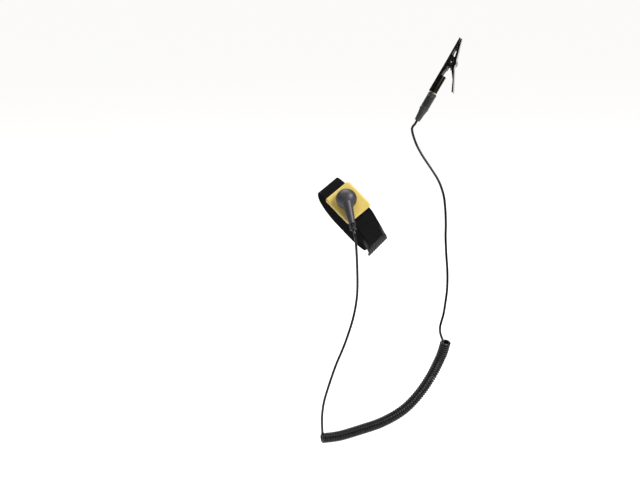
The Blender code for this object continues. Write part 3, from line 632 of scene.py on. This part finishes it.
def coil_points():
    """The curly stretch: a left-handed helix round its route, from the side away from the camera."""
    centres = smooth_route(COIL_ROUTE, 0.25 * MM)
    sides, ways = carried_sides(centres, Z)
    lengths = along_length(centres)
    start, end = COIL_MARGIN, lengths[-1] - COIL_MARGIN
    count = round(COIL_TURNS * POINTS_A_TURN)
    found = []
    for k in range(count + 1):
        at = start + (end - start) * k / count
        i = min(len(centres) - 2, int(np.searchsorted(lengths, at, side="right")) - 1)
        share = (at - lengths[i]) / (lengths[i + 1] - lengths[i])
        centre = centres[i].lerp(centres[i + 1], share)
        way = ways[i].lerp(ways[i + 1], share).normalized()
        up = sides[i].lerp(sides[i + 1], share).normalized()
        front = up.cross(way).normalized()
        if front.y > 0:
            front = -front
        angle = -TAU * (0.25 + COIL_TURNS * k / count)
        found.append(centre + (up * math.cos(angle) + front * math.sin(angle)) * COIL_TURN_RADIUS)
    return found


def bridge(a, b, count, pull):
    """Points between the end of one run and the start of the next, leaving and arriving along them."""
    start, end = a[-1], b[0]
    leaving = (a[-1] - a[-2]).normalized() * pull
    arriving = (b[1] - b[0]).normalized() * pull
    found = []
    for k in range(1, count):
        t = k / count
        t2, t3 = t * t, t * t * t
        point = (2 * t3 - 3 * t2 + 1) * start + (t3 - 2 * t2 + t) * leaving
        point = point + (-2 * t3 + 3 * t2) * end + (t3 - t2) * arriving
        found.append(point)
    return found


def lead_path():
    """The cord's centre line, from inside the neck to inside the plug."""
    start = [NECK @ Vector((d * MM, 0, 0)) for d in (24.2, 28.0, 32.0)]
    upper = smooth_route(start + [Vector(p) for p in UPPER_ROUTE], 2 * MM)
    low = -PLUG_BODY_LENGTH / MM
    end = [PLUG @ Vector((0, 0, (low + d) * MM)) for d in (-8, -3, 3, 10, 16.5)]
    lower = smooth_route([Vector(p) for p in LOWER_ROUTE] + end, 2 * MM)
    coil = coil_points()
    first = bridge(upper, coil, 6, 5 * MM)
    last = bridge(coil, lower, 4, 2 * MM)
    return upper + first + coil + last + lower


lead_line = lead_path()
lead = tube("lead_cord", lead_line, CORD_RADIUS, 12, Matrix(), X)
finish_piece(lead, CORD, "lead", "cord_jacket", "cord_upper", "cord_coil", "cord_lower")

# ---------------------------------------------------------------- band

# The band's skin line round the wrist, as (x, z) in the wrist frame.
LOOP_OUTLINE_MM = [
    (24.4, 0.0),
    (23.2, 3.4),
    (21.4, 6.6),
    (19.1, 9.8),
    (16.7, 12.8),
    (14.2, 15.8),
    (11.8, 17.9),
    (9.0, 18.46),
    (5.0, 18.5),
    (0.0, 18.53),
    (-5.0, 18.53),
    (-10.0, 18.5),
    (-14.5, 18.43),
    (-19.0, 17.6),
    (-23.3, 16.2),
    (-26.7, 13.9),
    (-28.8, 10.0),
    (-29.6, 4.8),
    (-29.4, -1.0),
    (-28.0, -7.4),
    (-23.4, -13.2),
    (-16.8, -16.6),
    (-10.0, -18.0),
    (-3.0, -18.5),
    (4.0, -18.5),
    (11.0, -17.8),
    (17.2, -15.8),
    (22.8, -12.2),
    (25.3, -6.3),
]
NORMAL_REACH_MM = 2.5
LOOP_SPAN_POINTS = 12

# Places round the loop are in degrees, from the wrist frame's +X towards its +Z.
TAIL_END = -25
TAIL_PEEL_START = 2
HEM_START = -7
HOOK_END = 50
PANEL_END = 57
STEP_DOWN_START = 125
STEP_DOWN_END = 165
INNER_END = 400

BAND_WIDTH = 20 * MM
BAND_THICKNESS = 1.0 * MM
TAIL_LIFT, TAIL_PEEL = 1.9 * MM, 2.8 * MM
PATCH_WIDTH, PATCH_THICKNESS = 15.6 * MM, 0.5 * MM
HEM_THICKNESS = 1.0 * MM
HOOK_LIFT, HEM_LIFT, PANEL_LIFT = 1.15 * MM, 2.85 * MM, 3.05 * MM
STITCH_LIFT, STITCH_REACH, STITCH_PITCH = 3.62 * MM, 7.4 * MM, 0.5 * MM
THREAD_RADIUS = 0.14 * MM
ARM_TAPER = 0.08
EDGE_BEAD, EDGE_BEAD_WIDTH = 9.1 * MM, 0.5 * MM


def loop_table():
    """Points and smoothed outward normals of the closed loop, with the angle of each from its centre."""
    count = len(LOOP_OUTLINE_MM)
    fine = []
    for i in range(count):
        corners = [np.array(LOOP_OUTLINE_MM[(i + k) % count]) for k in (-1, 0, 1, 2)]
        fine += [curve_point(*corners, k / LOOP_SPAN_POINTS) for k in range(LOOP_SPAN_POINTS)]
    points = np.array(fine)
    steps = np.roll(points, -1, axis=0) - points
    middles = points + steps / 2
    normals = np.zeros_like(points)
    for i, point in enumerate(points):
        weight = np.clip(1 - np.linalg.norm(middles - point, axis=1) / NORMAL_REACH_MM, 0, None)
        total = (np.stack([steps[:, 1], -steps[:, 0]], axis=1) * weight[:, None]).sum(0)
        normals[i] = total / np.linalg.norm(total)
    angles = np.degrees(np.unwrap(np.arctan2(points[:, 1], points[:, 0])))
    return angles, points, normals


LOOP_ANGLES, LOOP_POINTS, LOOP_NORMALS = loop_table()


def loop_point(degrees, lift):
    """A point of the loop in its own plane, lifted outward from the skin, and the outward normal."""
    at = (degrees - LOOP_ANGLES[0]) % 360 + LOOP_ANGLES[0]
    ends = np.append(LOOP_ANGLES, LOOP_ANGLES[0] + 360)
    x, z = (np.interp(at, ends, np.append(LOOP_POINTS[:, k], LOOP_POINTS[0, k])) for k in (0, 1))
    nx, nz = (np.interp(at, ends, np.append(LOOP_NORMALS[:, k], LOOP_NORMALS[0, k])) for k in (0, 1))
    normal = Vector((float(nx), 0, float(nz))).normalized()
    return Vector((float(x), 0, float(z))) * MM + normal * lift, normal


def tail_peel(degrees):
    """How far the tail's free end has lifted off the layer under it."""
    return TAIL_PEEL * (1 - smoothstep(TAIL_END, TAIL_PEEL_START, degrees))


def on_tail(lift):
    """The lift of a layer that rides on the tail and peels with it."""
    return lambda degrees: lift + tail_peel(degrees)


def strip_lift(degrees):
    """How far the strip's inner face stands off the skin: over its own inner end, then down onto it."""
    lift = TAIL_LIFT * (1 - smoothstep(STEP_DOWN_START, STEP_DOWN_END, degrees))
    return lift + (tail_peel(degrees) if degrees < TAIL_PEEL_START else 0)


def arm_taper(degrees):
    """The arm thickens towards the elbow, so both turns of the loop stand further out on that edge."""
    at = (degrees + 180) % 360 - 180
    return ARM_TAPER * smoothstep(55, 25, at) * smoothstep(-75, -40, at) if abs(at) < 90 else 0


def rounded_section(width, thickness, corner, count, relief):
    """Points round a flat section, from -width/2 to width/2 on the outer face and back on the inner one.

    relief(x, side) adds to the height of each face point; side is 1 for the outer face.
    """
    section = []
    for side in (1, -1):
        for k in range(count + 1):
            x = side * (-width / 2 + corner + (width - 2 * corner) * k / count)
            z = thickness if side == 1 else 0
            section.append((x, z + side * relief(x, side)))
        for k in range(1, 6):
            angle = math.pi * k / 6
            x = side * (width / 2 - corner + corner * math.sin(angle))
            z = thickness / 2 + side * thickness / 2 * math.cos(angle)
            section.append((x, z))
    return section


def loop_layer(name, start, end, lift, thickness, width, count, relief, step, wander=0.0, rough=None):
    """A woven layer that follows the loop, with a rounded edge and relief across its width.

    start, end and step are degrees round the loop; count is the number of steps across each face.
    """
    section = rounded_section(width, thickness, min(0.45 * MM, thickness / 2), count, relief)
    steps = max(4, round((end - start) / step))
    vertices, lay = [], []
    travelled, last = 0.0, None
    for i in range(steps + 1):
        degrees = start + (end - start) * i / steps
        base, normal = loop_point(degrees, lift(degrees))
        if last is not None:
            travelled += (base - last).length
        last = base
        drift = wander * math.sin(travelled / MM * 0.19 + 0.7) * math.sin(travelled / MM * 0.07)
        for x, z in section:
            extra = rough(travelled, x, z) if rough else 0.0
            point = base + normal * (z + extra - x * arm_taper(degrees))
            vertices.append((point.x, x + drift, point.z))
            lay.append((travelled, x, z))
    return object_from(name, vertices, rings_to_faces(steps + 1, len(section)), WRIST, 60, lay)


def flat(x, side):
    """No relief."""
    return 0.0


def rib(pitch, depth):
    """Ribs on the outer face only, so that the inner one still lies on the strip."""
    return lambda x, side: depth * 0.5 * (math.cos(TAU * x / pitch) - 1) if side == 1 else 0.0


def selvedge(x, side):
    """Fine ribs, with a slightly thicker bead along each edge."""
    bead = 0.06 * MM * math.exp(-(((abs(x) - EDGE_BEAD) / EDGE_BEAD_WIDTH) ** 2))
    return 0.035 * MM * (math.cos(TAU * x / (0.8 * MM)) - 1) + bead


band = loop_layer(
    "elastic_strip", TAIL_END, INNER_END, strip_lift, BAND_THICKNESS, BAND_WIDTH, 100,
    selvedge, step=0.8, wander=0.12 * MM,
)
finish_piece(band, ELASTIC, "wristband", "elastic", "elastic_band")


def pile_relief(travelled, x, z):
    """Small tufts on the outer face only."""
    if z < 0.2 * MM:
        return 0.0
    a = math.sin(travelled / MM * 7.1 + math.sin(x / MM * 3.3) * 1.7)
    b = math.sin(x / MM * 8.3 + math.sin(travelled / MM * 2.9) * 1.9)
    return 0.06 * MM * a * b + 0.05 * MM * math.sin(travelled / MM * 1.1 + x / MM * 0.9)


panel = loop_layer(
    "pile_patch", HEM_START + 0.3, PANEL_END, on_tail(PANEL_LIFT), PATCH_THICKNESS, PATCH_WIDTH, 60,
    flat, step=0.5, wander=0.1 * MM, rough=pile_relief,
)
finish_piece(panel, PILE, "wristband", "pile", "pile_panel")

hem = loop_layer(
    "ribbed_hem", TAIL_END, HEM_START - 0.5, on_tail(HEM_LIFT), HEM_THICKNESS, BAND_WIDTH, 100,
    rib(2.0 * MM, 0.36 * MM), step=0.8, wander=0.1 * MM,
)
finish_piece(hem, KNIT, "wristband", "grey_knit", "tail_hem")


def hook_relief(travelled, x, z):
    """Rows of small hooks on the outer face."""
    if z < 0.2 * MM:
        return 0.0
    return 0.08 * MM * math.sin(travelled / MM * TAU / 1.5) * math.sin(x / MM * TAU / 1.3)


hooks = loop_layer(
    "hook_tape", TAIL_END + 3, HOOK_END, on_tail(HOOK_LIFT), PATCH_THICKNESS, PATCH_WIDTH, 60,
    flat, step=0.5, rough=hook_relief,
)
finish_piece(hooks, HOOK, "wristband", "hook_tape", "hook_patch")


def stitch_row(name, degrees, lift, reach, swing):
    """A zigzag of sewing thread across the strip, half sunk into it."""
    points = []
    count = round(2 * reach / STITCH_PITCH)
    for k in range(count + 1):
        x = reach * (2 * k / count - 1)
        at = degrees + swing * (1 if k % 2 else -1)
        base, normal = loop_point(at, lift + tail_peel(at))
        point = base - normal * x * arm_taper(at)
        points.append(Vector((point.x, x, point.z)))
    return tube(name, points, THREAD_RADIUS, 8, WRIST, Z)


stitches = stitch_row("hem_stitches", HEM_START + 1.6, STITCH_LIFT, STITCH_REACH, 0.5)
finish_piece(stitches, THREAD, "wristband", "elastic")

# ---------------------------------------------------------------- snap plate

PLATE_LENGTH, PLATE_WIDTH, PLATE_CORNER = 28.3, 24.4, 2.2
PLATE_HOLE_RADIUS = 2.1


def rounded_outline(inset):
    """Outline of the plate, pulled in by the inset, in mm, with points along its sides too."""
    per_corner, per_side = 8, 10
    corner = max(0.25, PLATE_CORNER - inset)
    reach_x, reach_y = PLATE_LENGTH / 2 - inset - corner, PLATE_WIDTH / 2 - inset - corner

    def on_corner(quarter, share):
        angle = math.pi / 2 * (quarter + share)
        sx, sy = ((1, 1), (-1, 1), (-1, -1), (1, -1))[quarter % 4]
        return sx * reach_x + corner * math.cos(angle), sy * reach_y + corner * math.sin(angle)

    outline = []
    for quarter in range(4):
        outline += [on_corner(quarter, k / per_corner) for k in range(per_corner + 1)]
        (ax, ay), (bx, by) = outline[-1], on_corner(quarter + 1, 0)
        shares = [k / per_side for k in range(1, per_side)]
        outline += [(ax + (bx - ax) * share, ay + (by - ay) * share) for share in shares]
    return outline


def plate_cover():
    """Square plate with a sloped, rounded rim and a slightly crowned top, pierced for the rivet."""
    rim = [(0.25, 21.75), (0.05, 21.95), (0.0, 22.2), (0.0, 22.75), (0.06, 23.0), (0.25, 23.25)]
    rim += [(0.75, 23.72), (1.0, 23.9), (1.3, 24.0), (1.8, 24.05)]
    vertices, faces, rings = [], [], []
    for inset, z in rim:
        ring = []
        for x, y in rounded_outline(inset):
            ring.append(len(vertices))
            vertices.append((x * MM + PLATE_X, y * MM, z * MM))
        rings.append(ring)
    size = len(rings[0])
    top_edge = rounded_outline(rim[-1][0])
    aside = (SNAP_X - PLATE_X) / MM
    for share, z in ((0.25, 24.06), (0.5, 24.07), (0.75, 24.09), (1.0, 24.1), (1.0, 21.75)):
        ring = []
        for x, y in top_edge:
            length = math.hypot(x - aside, y)
            target = length + (PLATE_HOLE_RADIUS - length) * share
            at_x = aside + (x - aside) / length * target
            ring.append(len(vertices))
            vertices.append((at_x * MM + PLATE_X, y / length * target * MM, z * MM))
        rings.append(ring)
    for a, b in zip(rings, rings[1:] + rings[:1]):
        for j in range(size):
            k = (j + 1) % size
            faces.append((a[j], a[k], b[k], b[j]))
    return object_from("yellow_cover", vertices, faces, WRIST, 30)


cover = plate_cover()
finish_piece(cover, YELLOW, "wristband", "yellow_plastic", "plate_cover")

for node in ("contact_plate", "stud_rivet", "snap_stud", "snap_spring", "snap_socket"):
    repaint(node, STEEL)
repaint("plate_base", BLACK_PLASTIC)
for node in ("resistor_lead_inner", "resistor_lead_outer"):
    repaint(node, COPPER)
repaint("wire_ferrule", BRASS)
repaint("resistor", ENAMEL)

# ---------------------------------------------------------------- snap head

HEAD_LOW, HEAD_RADIUS, HEAD_HEIGHT = 25.2, 8.3, 8.9
NECK_START, NECK_END, RELIEF_END = 4.5, 23.2, 28.4
NECK_ROOT_RADIUS, NECK_TIP_RADIUS = 4.2, 2.6
CHAMBER_RADIUS, CHAMBER_LOW, CHAMBER_TOP = 6.85, 24, 29.7
NECK_BORE_RADIUS, CORD_HOLE_RADIUS = 1.6, 1.3
RELIEF_GROOVES = ((0.14, 0.085, 0.85), (0.48, 0.11, 0.85))
FUSE_VOXEL = 0.28 * MM
ALONG_NECK = NECK @ Matrix.Rotation(math.pi / 2, 4, "Y")


def apply_modifiers(obj):
    """Turns what the object's modifiers make of it into its own mesh."""
    bpy.context.view_layer.update()
    evaluated = obj.evaluated_get(bpy.context.evaluated_depsgraph_get())
    mesh = bpy.data.meshes.new_from_object(evaluated)
    obj.modifiers.clear()
    old = obj.data
    obj.data = mesh
    bpy.data.meshes.remove(old)


def join_meshes(obj, other):
    """Adds the other object's mesh to this one's, both placed, and removes the other."""
    work = bmesh.new()
    work.from_mesh(obj.data)
    moved = other.data.copy()
    moved.transform(obj.matrix_world.inverted() @ other.matrix_world)
    work.from_mesh(moved)
    work.to_mesh(obj.data)
    work.free()
    bpy.data.meshes.remove(moved)
    bpy.data.objects.remove(other, do_unlink=True)


def subtract(obj, cutter):
    """Cuts the other object out of this one, and removes it."""
    change = obj.modifiers.new("cut", "BOOLEAN")
    change.operation = "DIFFERENCE"
    change.solver = "EXACT"
    change.object = cutter
    apply_modifiers(obj)
    bpy.data.objects.remove(cutter, do_unlink=True)


def head_form():
    """The moulded dome and neck as one soft-edged body, hollow under the dome."""
    arc = 24
    profile = [(0, HEAD_LOW), (HEAD_RADIUS - 0.5, HEAD_LOW), (HEAD_RADIUS - 0.1, HEAD_LOW + 0.4)]
    for k in range(arc, -1, -1):
        angle = math.pi / 2 * k / arc
        r = HEAD_RADIUS * math.sin(angle) ** 0.8
        z = HEAD_LOW + 1.6 + (HEAD_HEIGHT - 1.6) * math.cos(angle)
        profile.append((r if k else 0, z))
    dome = turned("moulded_head", profile, SWIVEL, 72)
    neck_profile = [(0, 3.0), (NECK_ROOT_RADIUS - 0.4, 3.0), (NECK_ROOT_RADIUS, NECK_START)]
    neck_profile += [(NECK_TIP_RADIUS, NECK_END - 0.3), (NECK_TIP_RADIUS - 0.3, NECK_END), (0, NECK_END)]
    neck = turned("neck_form", neck_profile, ALONG_NECK)
    join_meshes(dome, neck)
    remesh = dome.modifiers.new("fuse", "REMESH")
    remesh.mode = "VOXEL"
    remesh.voxel_size = FUSE_VOXEL
    soften = dome.modifiers.new("soften", "SMOOTH")
    soften.factor = 0.5
    soften.iterations = 9
    apply_modifiers(dome)
    chamber = [(0, CHAMBER_LOW), (CHAMBER_RADIUS, CHAMBER_LOW)]
    chamber += [(CHAMBER_RADIUS, CHAMBER_TOP), (0, CHAMBER_TOP)]
    subtract(dome, turned("chamber", chamber, SWIVEL, 64))
    bore = [(0, 0), (NECK_BORE_RADIUS, 0), (NECK_BORE_RADIUS, 26), (0, 26)]
    subtract(dome, turned("bore", bore, ALONG_NECK, 24))
    dome.data.shade_smooth()
    dome.data.set_sharp_from_angle(angle=math.radians(45))
    return dome


head = head_form()
finish_piece(head, RUBBER, "lead", "charcoal_rubber", "head_shell")


def relief_form():
    """Ribbed end of the neck: two deep grooves, rounded ribs, and a fuller bulb at the mouth."""
    low = NECK_END + 0.3
    span = RELIEF_END - low
    outline = []
    count = 60
    for k in range(count + 1):
        t = k / count
        r = 2.62 + 0.12 * smoothstep(0.5, 0.9, t)
        for centre, width, depth in RELIEF_GROOVES:
            r -= depth * math.exp(-(((t - centre) / width) ** 4))
        r -= 1.2 * smoothstep(0.8, 1.0, t) ** 2
        outline.append((r, low + span * t))
    outline += [(CORD_HOLE_RADIUS, RELIEF_END - 0.1), (CORD_HOLE_RADIUS, low)]
    return turned("ribbed_relief", outline, ALONG_NECK, smooth_angle=50)


relief = relief_form()
finish_piece(relief, DARK_RUBBER, "lead", "charcoal_rubber", "strain_relief")

# ---------------------------------------------------------------- plug and clip


def plug_form():
    """Slim plug barrel with a knurled grip and a tapered tail over the cord."""
    low = -PLUG_BODY_LENGTH / MM
    profile = [(1.9, -0.8), (2.7, -0.8), (3.3, -1.1), (3.6, -1.8), (3.6, -3.0), (3.3, -3.3)]
    for k in range(9):
        z = -4.0 - 1.1 * k
        profile += [(3.55, z), (3.55, z - 0.55), (3.25, z - 0.75), (3.25, z - 0.95)]
    profile += [(3.6, -14.4), (3.6, -15.6), (3.2, -16.6), (2.75, low + 6.2), (2.5, low + 3.0)]
    profile += [(2.2, low + 0.3), (2.0, low)]
    profile += [(CORD_HOLE_RADIUS, low), (CORD_HOLE_RADIUS, low + 5), (1.9, low + 6)]
    return turned("plug_barrel", profile, PLUG)


plug = plug_form()
finish_piece(plug, BLACK_PLASTIC, "lead", "black_plastic", "plug_body")

SHEET = 0.5
TOOTH_PITCH, TOOTH_REACH = 1.5, 0.35
RIVET_DOME_RADIUS = 0.86 * MM
SPRING_WIRE_RADIUS, SPRING_RADIUS, SPRING_TURNS = 0.35 * MM, 1.95 * MM, 2.11
EAR = [(z / 10, math.sqrt(4.2**2 - (z / 10) ** 2)) for z in range(-40, 38, 4)]
FIXED_BACK = [(-27, -9.3), (0, -4.4), (21, -1.2)]
FIXED_EDGE = [(-27, -6.4), (-10, -3.4), (-4.15, -1.44)] + EAR
FIXED_EDGE += [(6.2, -1.5), (10.0, -1.2), (10.4, -0.5), (20.4, -0.2), (21, -0.2)]
FIXED_HALF = [(-27, 3.5), (0, 3.5), (6, 3.3), (21, 2.2)]
MOVING_BACK = [(-22.4, 10.0), (-4, 4.0), (2, 3.5), (20.6, 1.2)]
MOVING_EDGE = [(-22.4, 8.6), (-13, 5.9), (-4.4, 1.4), (-2.6, -1.6), (0, -2.4), (2.4, -1.6)]
MOVING_EDGE += [(3.6, 0.6), (5.4, 0.9), (10.2, 0.7), (10.6, 0.1), (19.6, 0.3), (20.6, 0.3)]
MOVING_HALF = [(-22.4, 3.2), (-12, 2.6), (4, 2.6), (20.6, 1.4)]


def read_off(table, z):
    """The table's value at height z."""
    return float(np.interp(z, [row[0] for row in table], [row[1] for row in table]))


def toothed(table, low, high, way):
    """The edge's level at z, with teeth between the two heights."""

    def edge(z):
        share = ((z - low) / TOOTH_PITCH) % 1 if low < z < high else 0.0
        return read_off(table, z) + way * TOOTH_REACH * (1 - abs(2 * share - 1))

    return edge


def channel_section(back, edge, half, corner):
    """A U from one wall's free edge, round the back, to the other's, as (x, y)."""
    side = 1 if edge > back else -1
    corner = max(0.05, min(corner, 0.45 * abs(edge - back), 0.8 * half))
    wall = back + side * corner
    points = [(edge + (wall - edge) * k / 3, half) for k in range(3)]
    for k in range(7):
        angle = math.pi / 2 * k / 6
        points.append((wall - side * corner * math.sin(angle), half - corner * (1 - math.cos(angle))))
    points.append((back, (half - corner) / 2))
    return points + [(back, 0)] + [(x, -y) for x, y in reversed(points)]


def sheet_jaw(name, back, edge, half, teeth, corner):
    """A jaw folded from sheet: a U in section along its whole length.

    back, edge and half are tables over the height, in mm; teeth says from where to where, and which way.
    """
    breaks = {row[0] for table in (back, edge, half) for row in table}
    low, high = back[0][0], back[-1][0]
    levels = {low + (high - low) * k / 60 for k in range(61)} | breaks
    first_tooth, last_tooth = teeth[:2]
    count = round((last_tooth - first_tooth) / TOOTH_PITCH * 4)
    levels |= {first_tooth + TOOTH_PITCH * k / 4 for k in range(count + 1)}
    levels = sorted(z for z in levels if low <= z <= high)
    levels = [z for z, after in zip(levels, levels[1:] + [high + 1]) if after - z > 0.04]
    level_of = toothed(edge, *teeth)
    vertices = []
    for z in levels:
        b, e, h = read_off(back, z), level_of(z), read_off(half, z)
        way = SHEET if e > b else -SHEET
        outer = channel_section(b, e, h, corner)
        inner = channel_section(b + way, e, h - SHEET, corner - 0.3)
        ring = outer + inner[::-1]
        vertices += [(x * MM, y * MM, z * MM) for x, y in ring]
    size = len(ring)
    made = object_from(name, vertices, rings_to_faces(len(levels), size), CLIP, 35)
    made["inner_from"], made["ring_size"] = size // 2, size
    return made


def paint_pale_inside(obj, pale_reflection):
    """Gives the faces on the inner side of a folded sheet a second, paler copy of its nickel: a painted
    reflection of bright surroundings.
    """
    obj.data.materials.append(pale_reflection)
    size, first = obj["ring_size"], obj["inner_from"]
    for face in obj.data.polygons:
        if first <= face.index % size < size - 1:
            face.material_index = 1


# Outer faces of both jaws take the nickel painted dark as a reflection; their inner faces take the nickel
# painted pale as a reflection.
jaw_fixed = sheet_jaw("fixed_jaw", FIXED_BACK, FIXED_EDGE, FIXED_HALF, (10.4, 20.4, 1), 0.9)
finish_piece(jaw_fixed, NICKEL_PAINTED_DARK, "clip", "dark_nickel", "clip_jaw_fixed")
paint_pale_inside(jaw_fixed, NICKEL_PAINTED_PALE)
jaw_moving = sheet_jaw("moving_jaw", MOVING_BACK, MOVING_EDGE, MOVING_HALF, (10.6, 19.6, -1), 1.3)
finish_piece(jaw_moving, NICKEL_PAINTED_DARK, "clip_lever", "dark_nickel", "clip_jaw_moving")
paint_pale_inside(jaw_moving, NICKEL_PAINTED_PALE)
# Faces of the moving jaw that turn towards +X also take the pale nickel: a painted reflection along its
# right-hand back.
for face in jaw_moving.data.polygons:
    if face.normal.x > 0.75:
        face.material_index = 1


def clip_rivet_form():
    """Rivet across the jaws: a flat flange at each end, with a small dome in it whose lighter colour is a
    painted highlight.
    """
    upper = [(0, 4.6), (0.35, 4.56), (0.6, 4.44), (0.78, 4.25), (0.85, 4.12), (1.2, 4.1), (1.95, 4.05)]
    upper += [(2.1, 3.95), (2.1, 3.8), (1.2, 3.8)]
    profile = upper + [(r, -z) for r, z in reversed(upper)]
    return turned("rivet", profile, CLIP @ Matrix.Rotation(math.pi / 2, 4, "X"), 40)


clip_rivet = clip_rivet_form()
finish_piece(clip_rivet, NICKEL_PAINTED_HIGHLIGHT, "clip", "bright_nickel", "clip_rivet")
# The flanges take the nickel painted dark as a reflection; only the dome keeps the painted highlight.
clip_rivet.data.materials.append(NICKEL_PAINTED_DARK)
for face in clip_rivet.data.polygons:
    if math.hypot(face.center.x, face.center.y) > RIVET_DOME_RADIUS:
        face.material_index = 1


def spring_path():
    """Two turns round the rivet, with a leg towards each handle."""
    points = []
    for k in range(81):
        angle = math.radians(-70) - TAU * SPRING_TURNS * k / 80
        y = 2.6 * SPRING_WIRE_RADIUS * SPRING_TURNS * (k / 80 - 0.5)
        points.append(Vector((SPRING_RADIUS * math.cos(angle), y, SPRING_RADIUS * math.sin(angle))))
    first = [points[0] + Vector((0.6, 0, -4.4)) * MM * share for share in (1.0, 0.66, 0.33, 0.1)]
    last = [points[-1] + Vector((-0.9, 0, -5.5)) * MM * share for share in (0.1, 0.33, 0.66, 1.0)]
    return first + points + last


spring = tube("torsion_spring", spring_path(), SPRING_WIRE_RADIUS, 12, CLIP, Y)
finish_piece(spring, STEEL, "clip", "steel", "clip_spring")

sleeve_profile = [(2.35, 15.0), (2.42, 15.1), (2.68, 15.1), (2.75, 15.0), (2.75, 1.0), (2.95, 0.55)]
sleeve_profile += [(3.0, 0.3), (2.9, 0.0), (2.6, -0.05), (2.4, 0.1), (2.35, 0.5)]
sleeve = turned("rolled_sleeve", sleeve_profile, PLUG)
# The sleeve takes the same nickel, painted dark as a reflection.
finish_piece(sleeve, NICKEL_PAINTED_DARK, "clip", "dark_nickel", "clip_sleeve")

pin_profile = [(0, 14.0), (0.5, 13.97), (0.85, 13.8), (1.35, 13.0), (1.56, 12.5), (1.6, 12.2)]
pin_profile += [(1.6, 11.4), (1.5, 11.3), (1.1, 11.2), (1.1, 2.4), (1.5, 2.3), (1.6, 2.1)]
pin_profile += [(1.6, -0.4), (1.6, -8.0), (0, -8.0)]
pin = turned("plug_core", pin_profile, PLUG, 40)
finish_piece(pin, BRASS, "lead", "brass", "plug_pin")

CAGE_INNER, CAGE_OUTER, CAGE_LEAVES = 1.4, 1.68, 8
CAGE_COLLARS = ((2.6, 3.5), (10.1, 11.0))


def leaf_cage():
    """Bowed leaves between two collars, all of one sheet."""
    vertices, faces = [], []

    def point(radius, angle, z):
        return radius * MM * math.cos(angle), radius * MM * math.sin(angle), z * MM

    for low, high in CAGE_COLLARS:
        section = [(CAGE_INNER, low), (CAGE_OUTER, low), (CAGE_OUTER, high), (CAGE_INNER, high)]
        start = len(vertices)
        for k in range(48):
            vertices += [point(r, TAU * k / 48, z) for r, z in section]
            a, b = start + k * 4, start + ((k + 1) % 48) * 4
            faces += [(a + j, a + (j + 1) % 4, b + (j + 1) % 4, b + j) for j in range(4)]
    for leaf in range(CAGE_LEAVES):
        start = len(vertices)
        for k in range(17):
            z = 3.4 + 6.8 * k / 16
            bow = 1.54 + 0.5 * math.sin(math.pi * k / 16) ** 2
            half = math.radians(22 - 6 * math.sin(math.pi * k / 16))
            angles = [TAU * leaf / CAGE_LEAVES + half * (j / 2 - 1) for j in range(5)]
            vertices += [point(bow + 0.1, angle, z) for angle in angles]
            vertices += [point(bow - 0.1, angle, z) for angle in reversed(angles)]
        faces += [tuple(start + i for i in face) for face in rings_to_faces(17, 10)]
    return object_from("leaf_cage", vertices, faces, PLUG, 35)


cage = leaf_cage()
finish_piece(cage, BRASS, "plug_cage", "brass", "plug_spring")
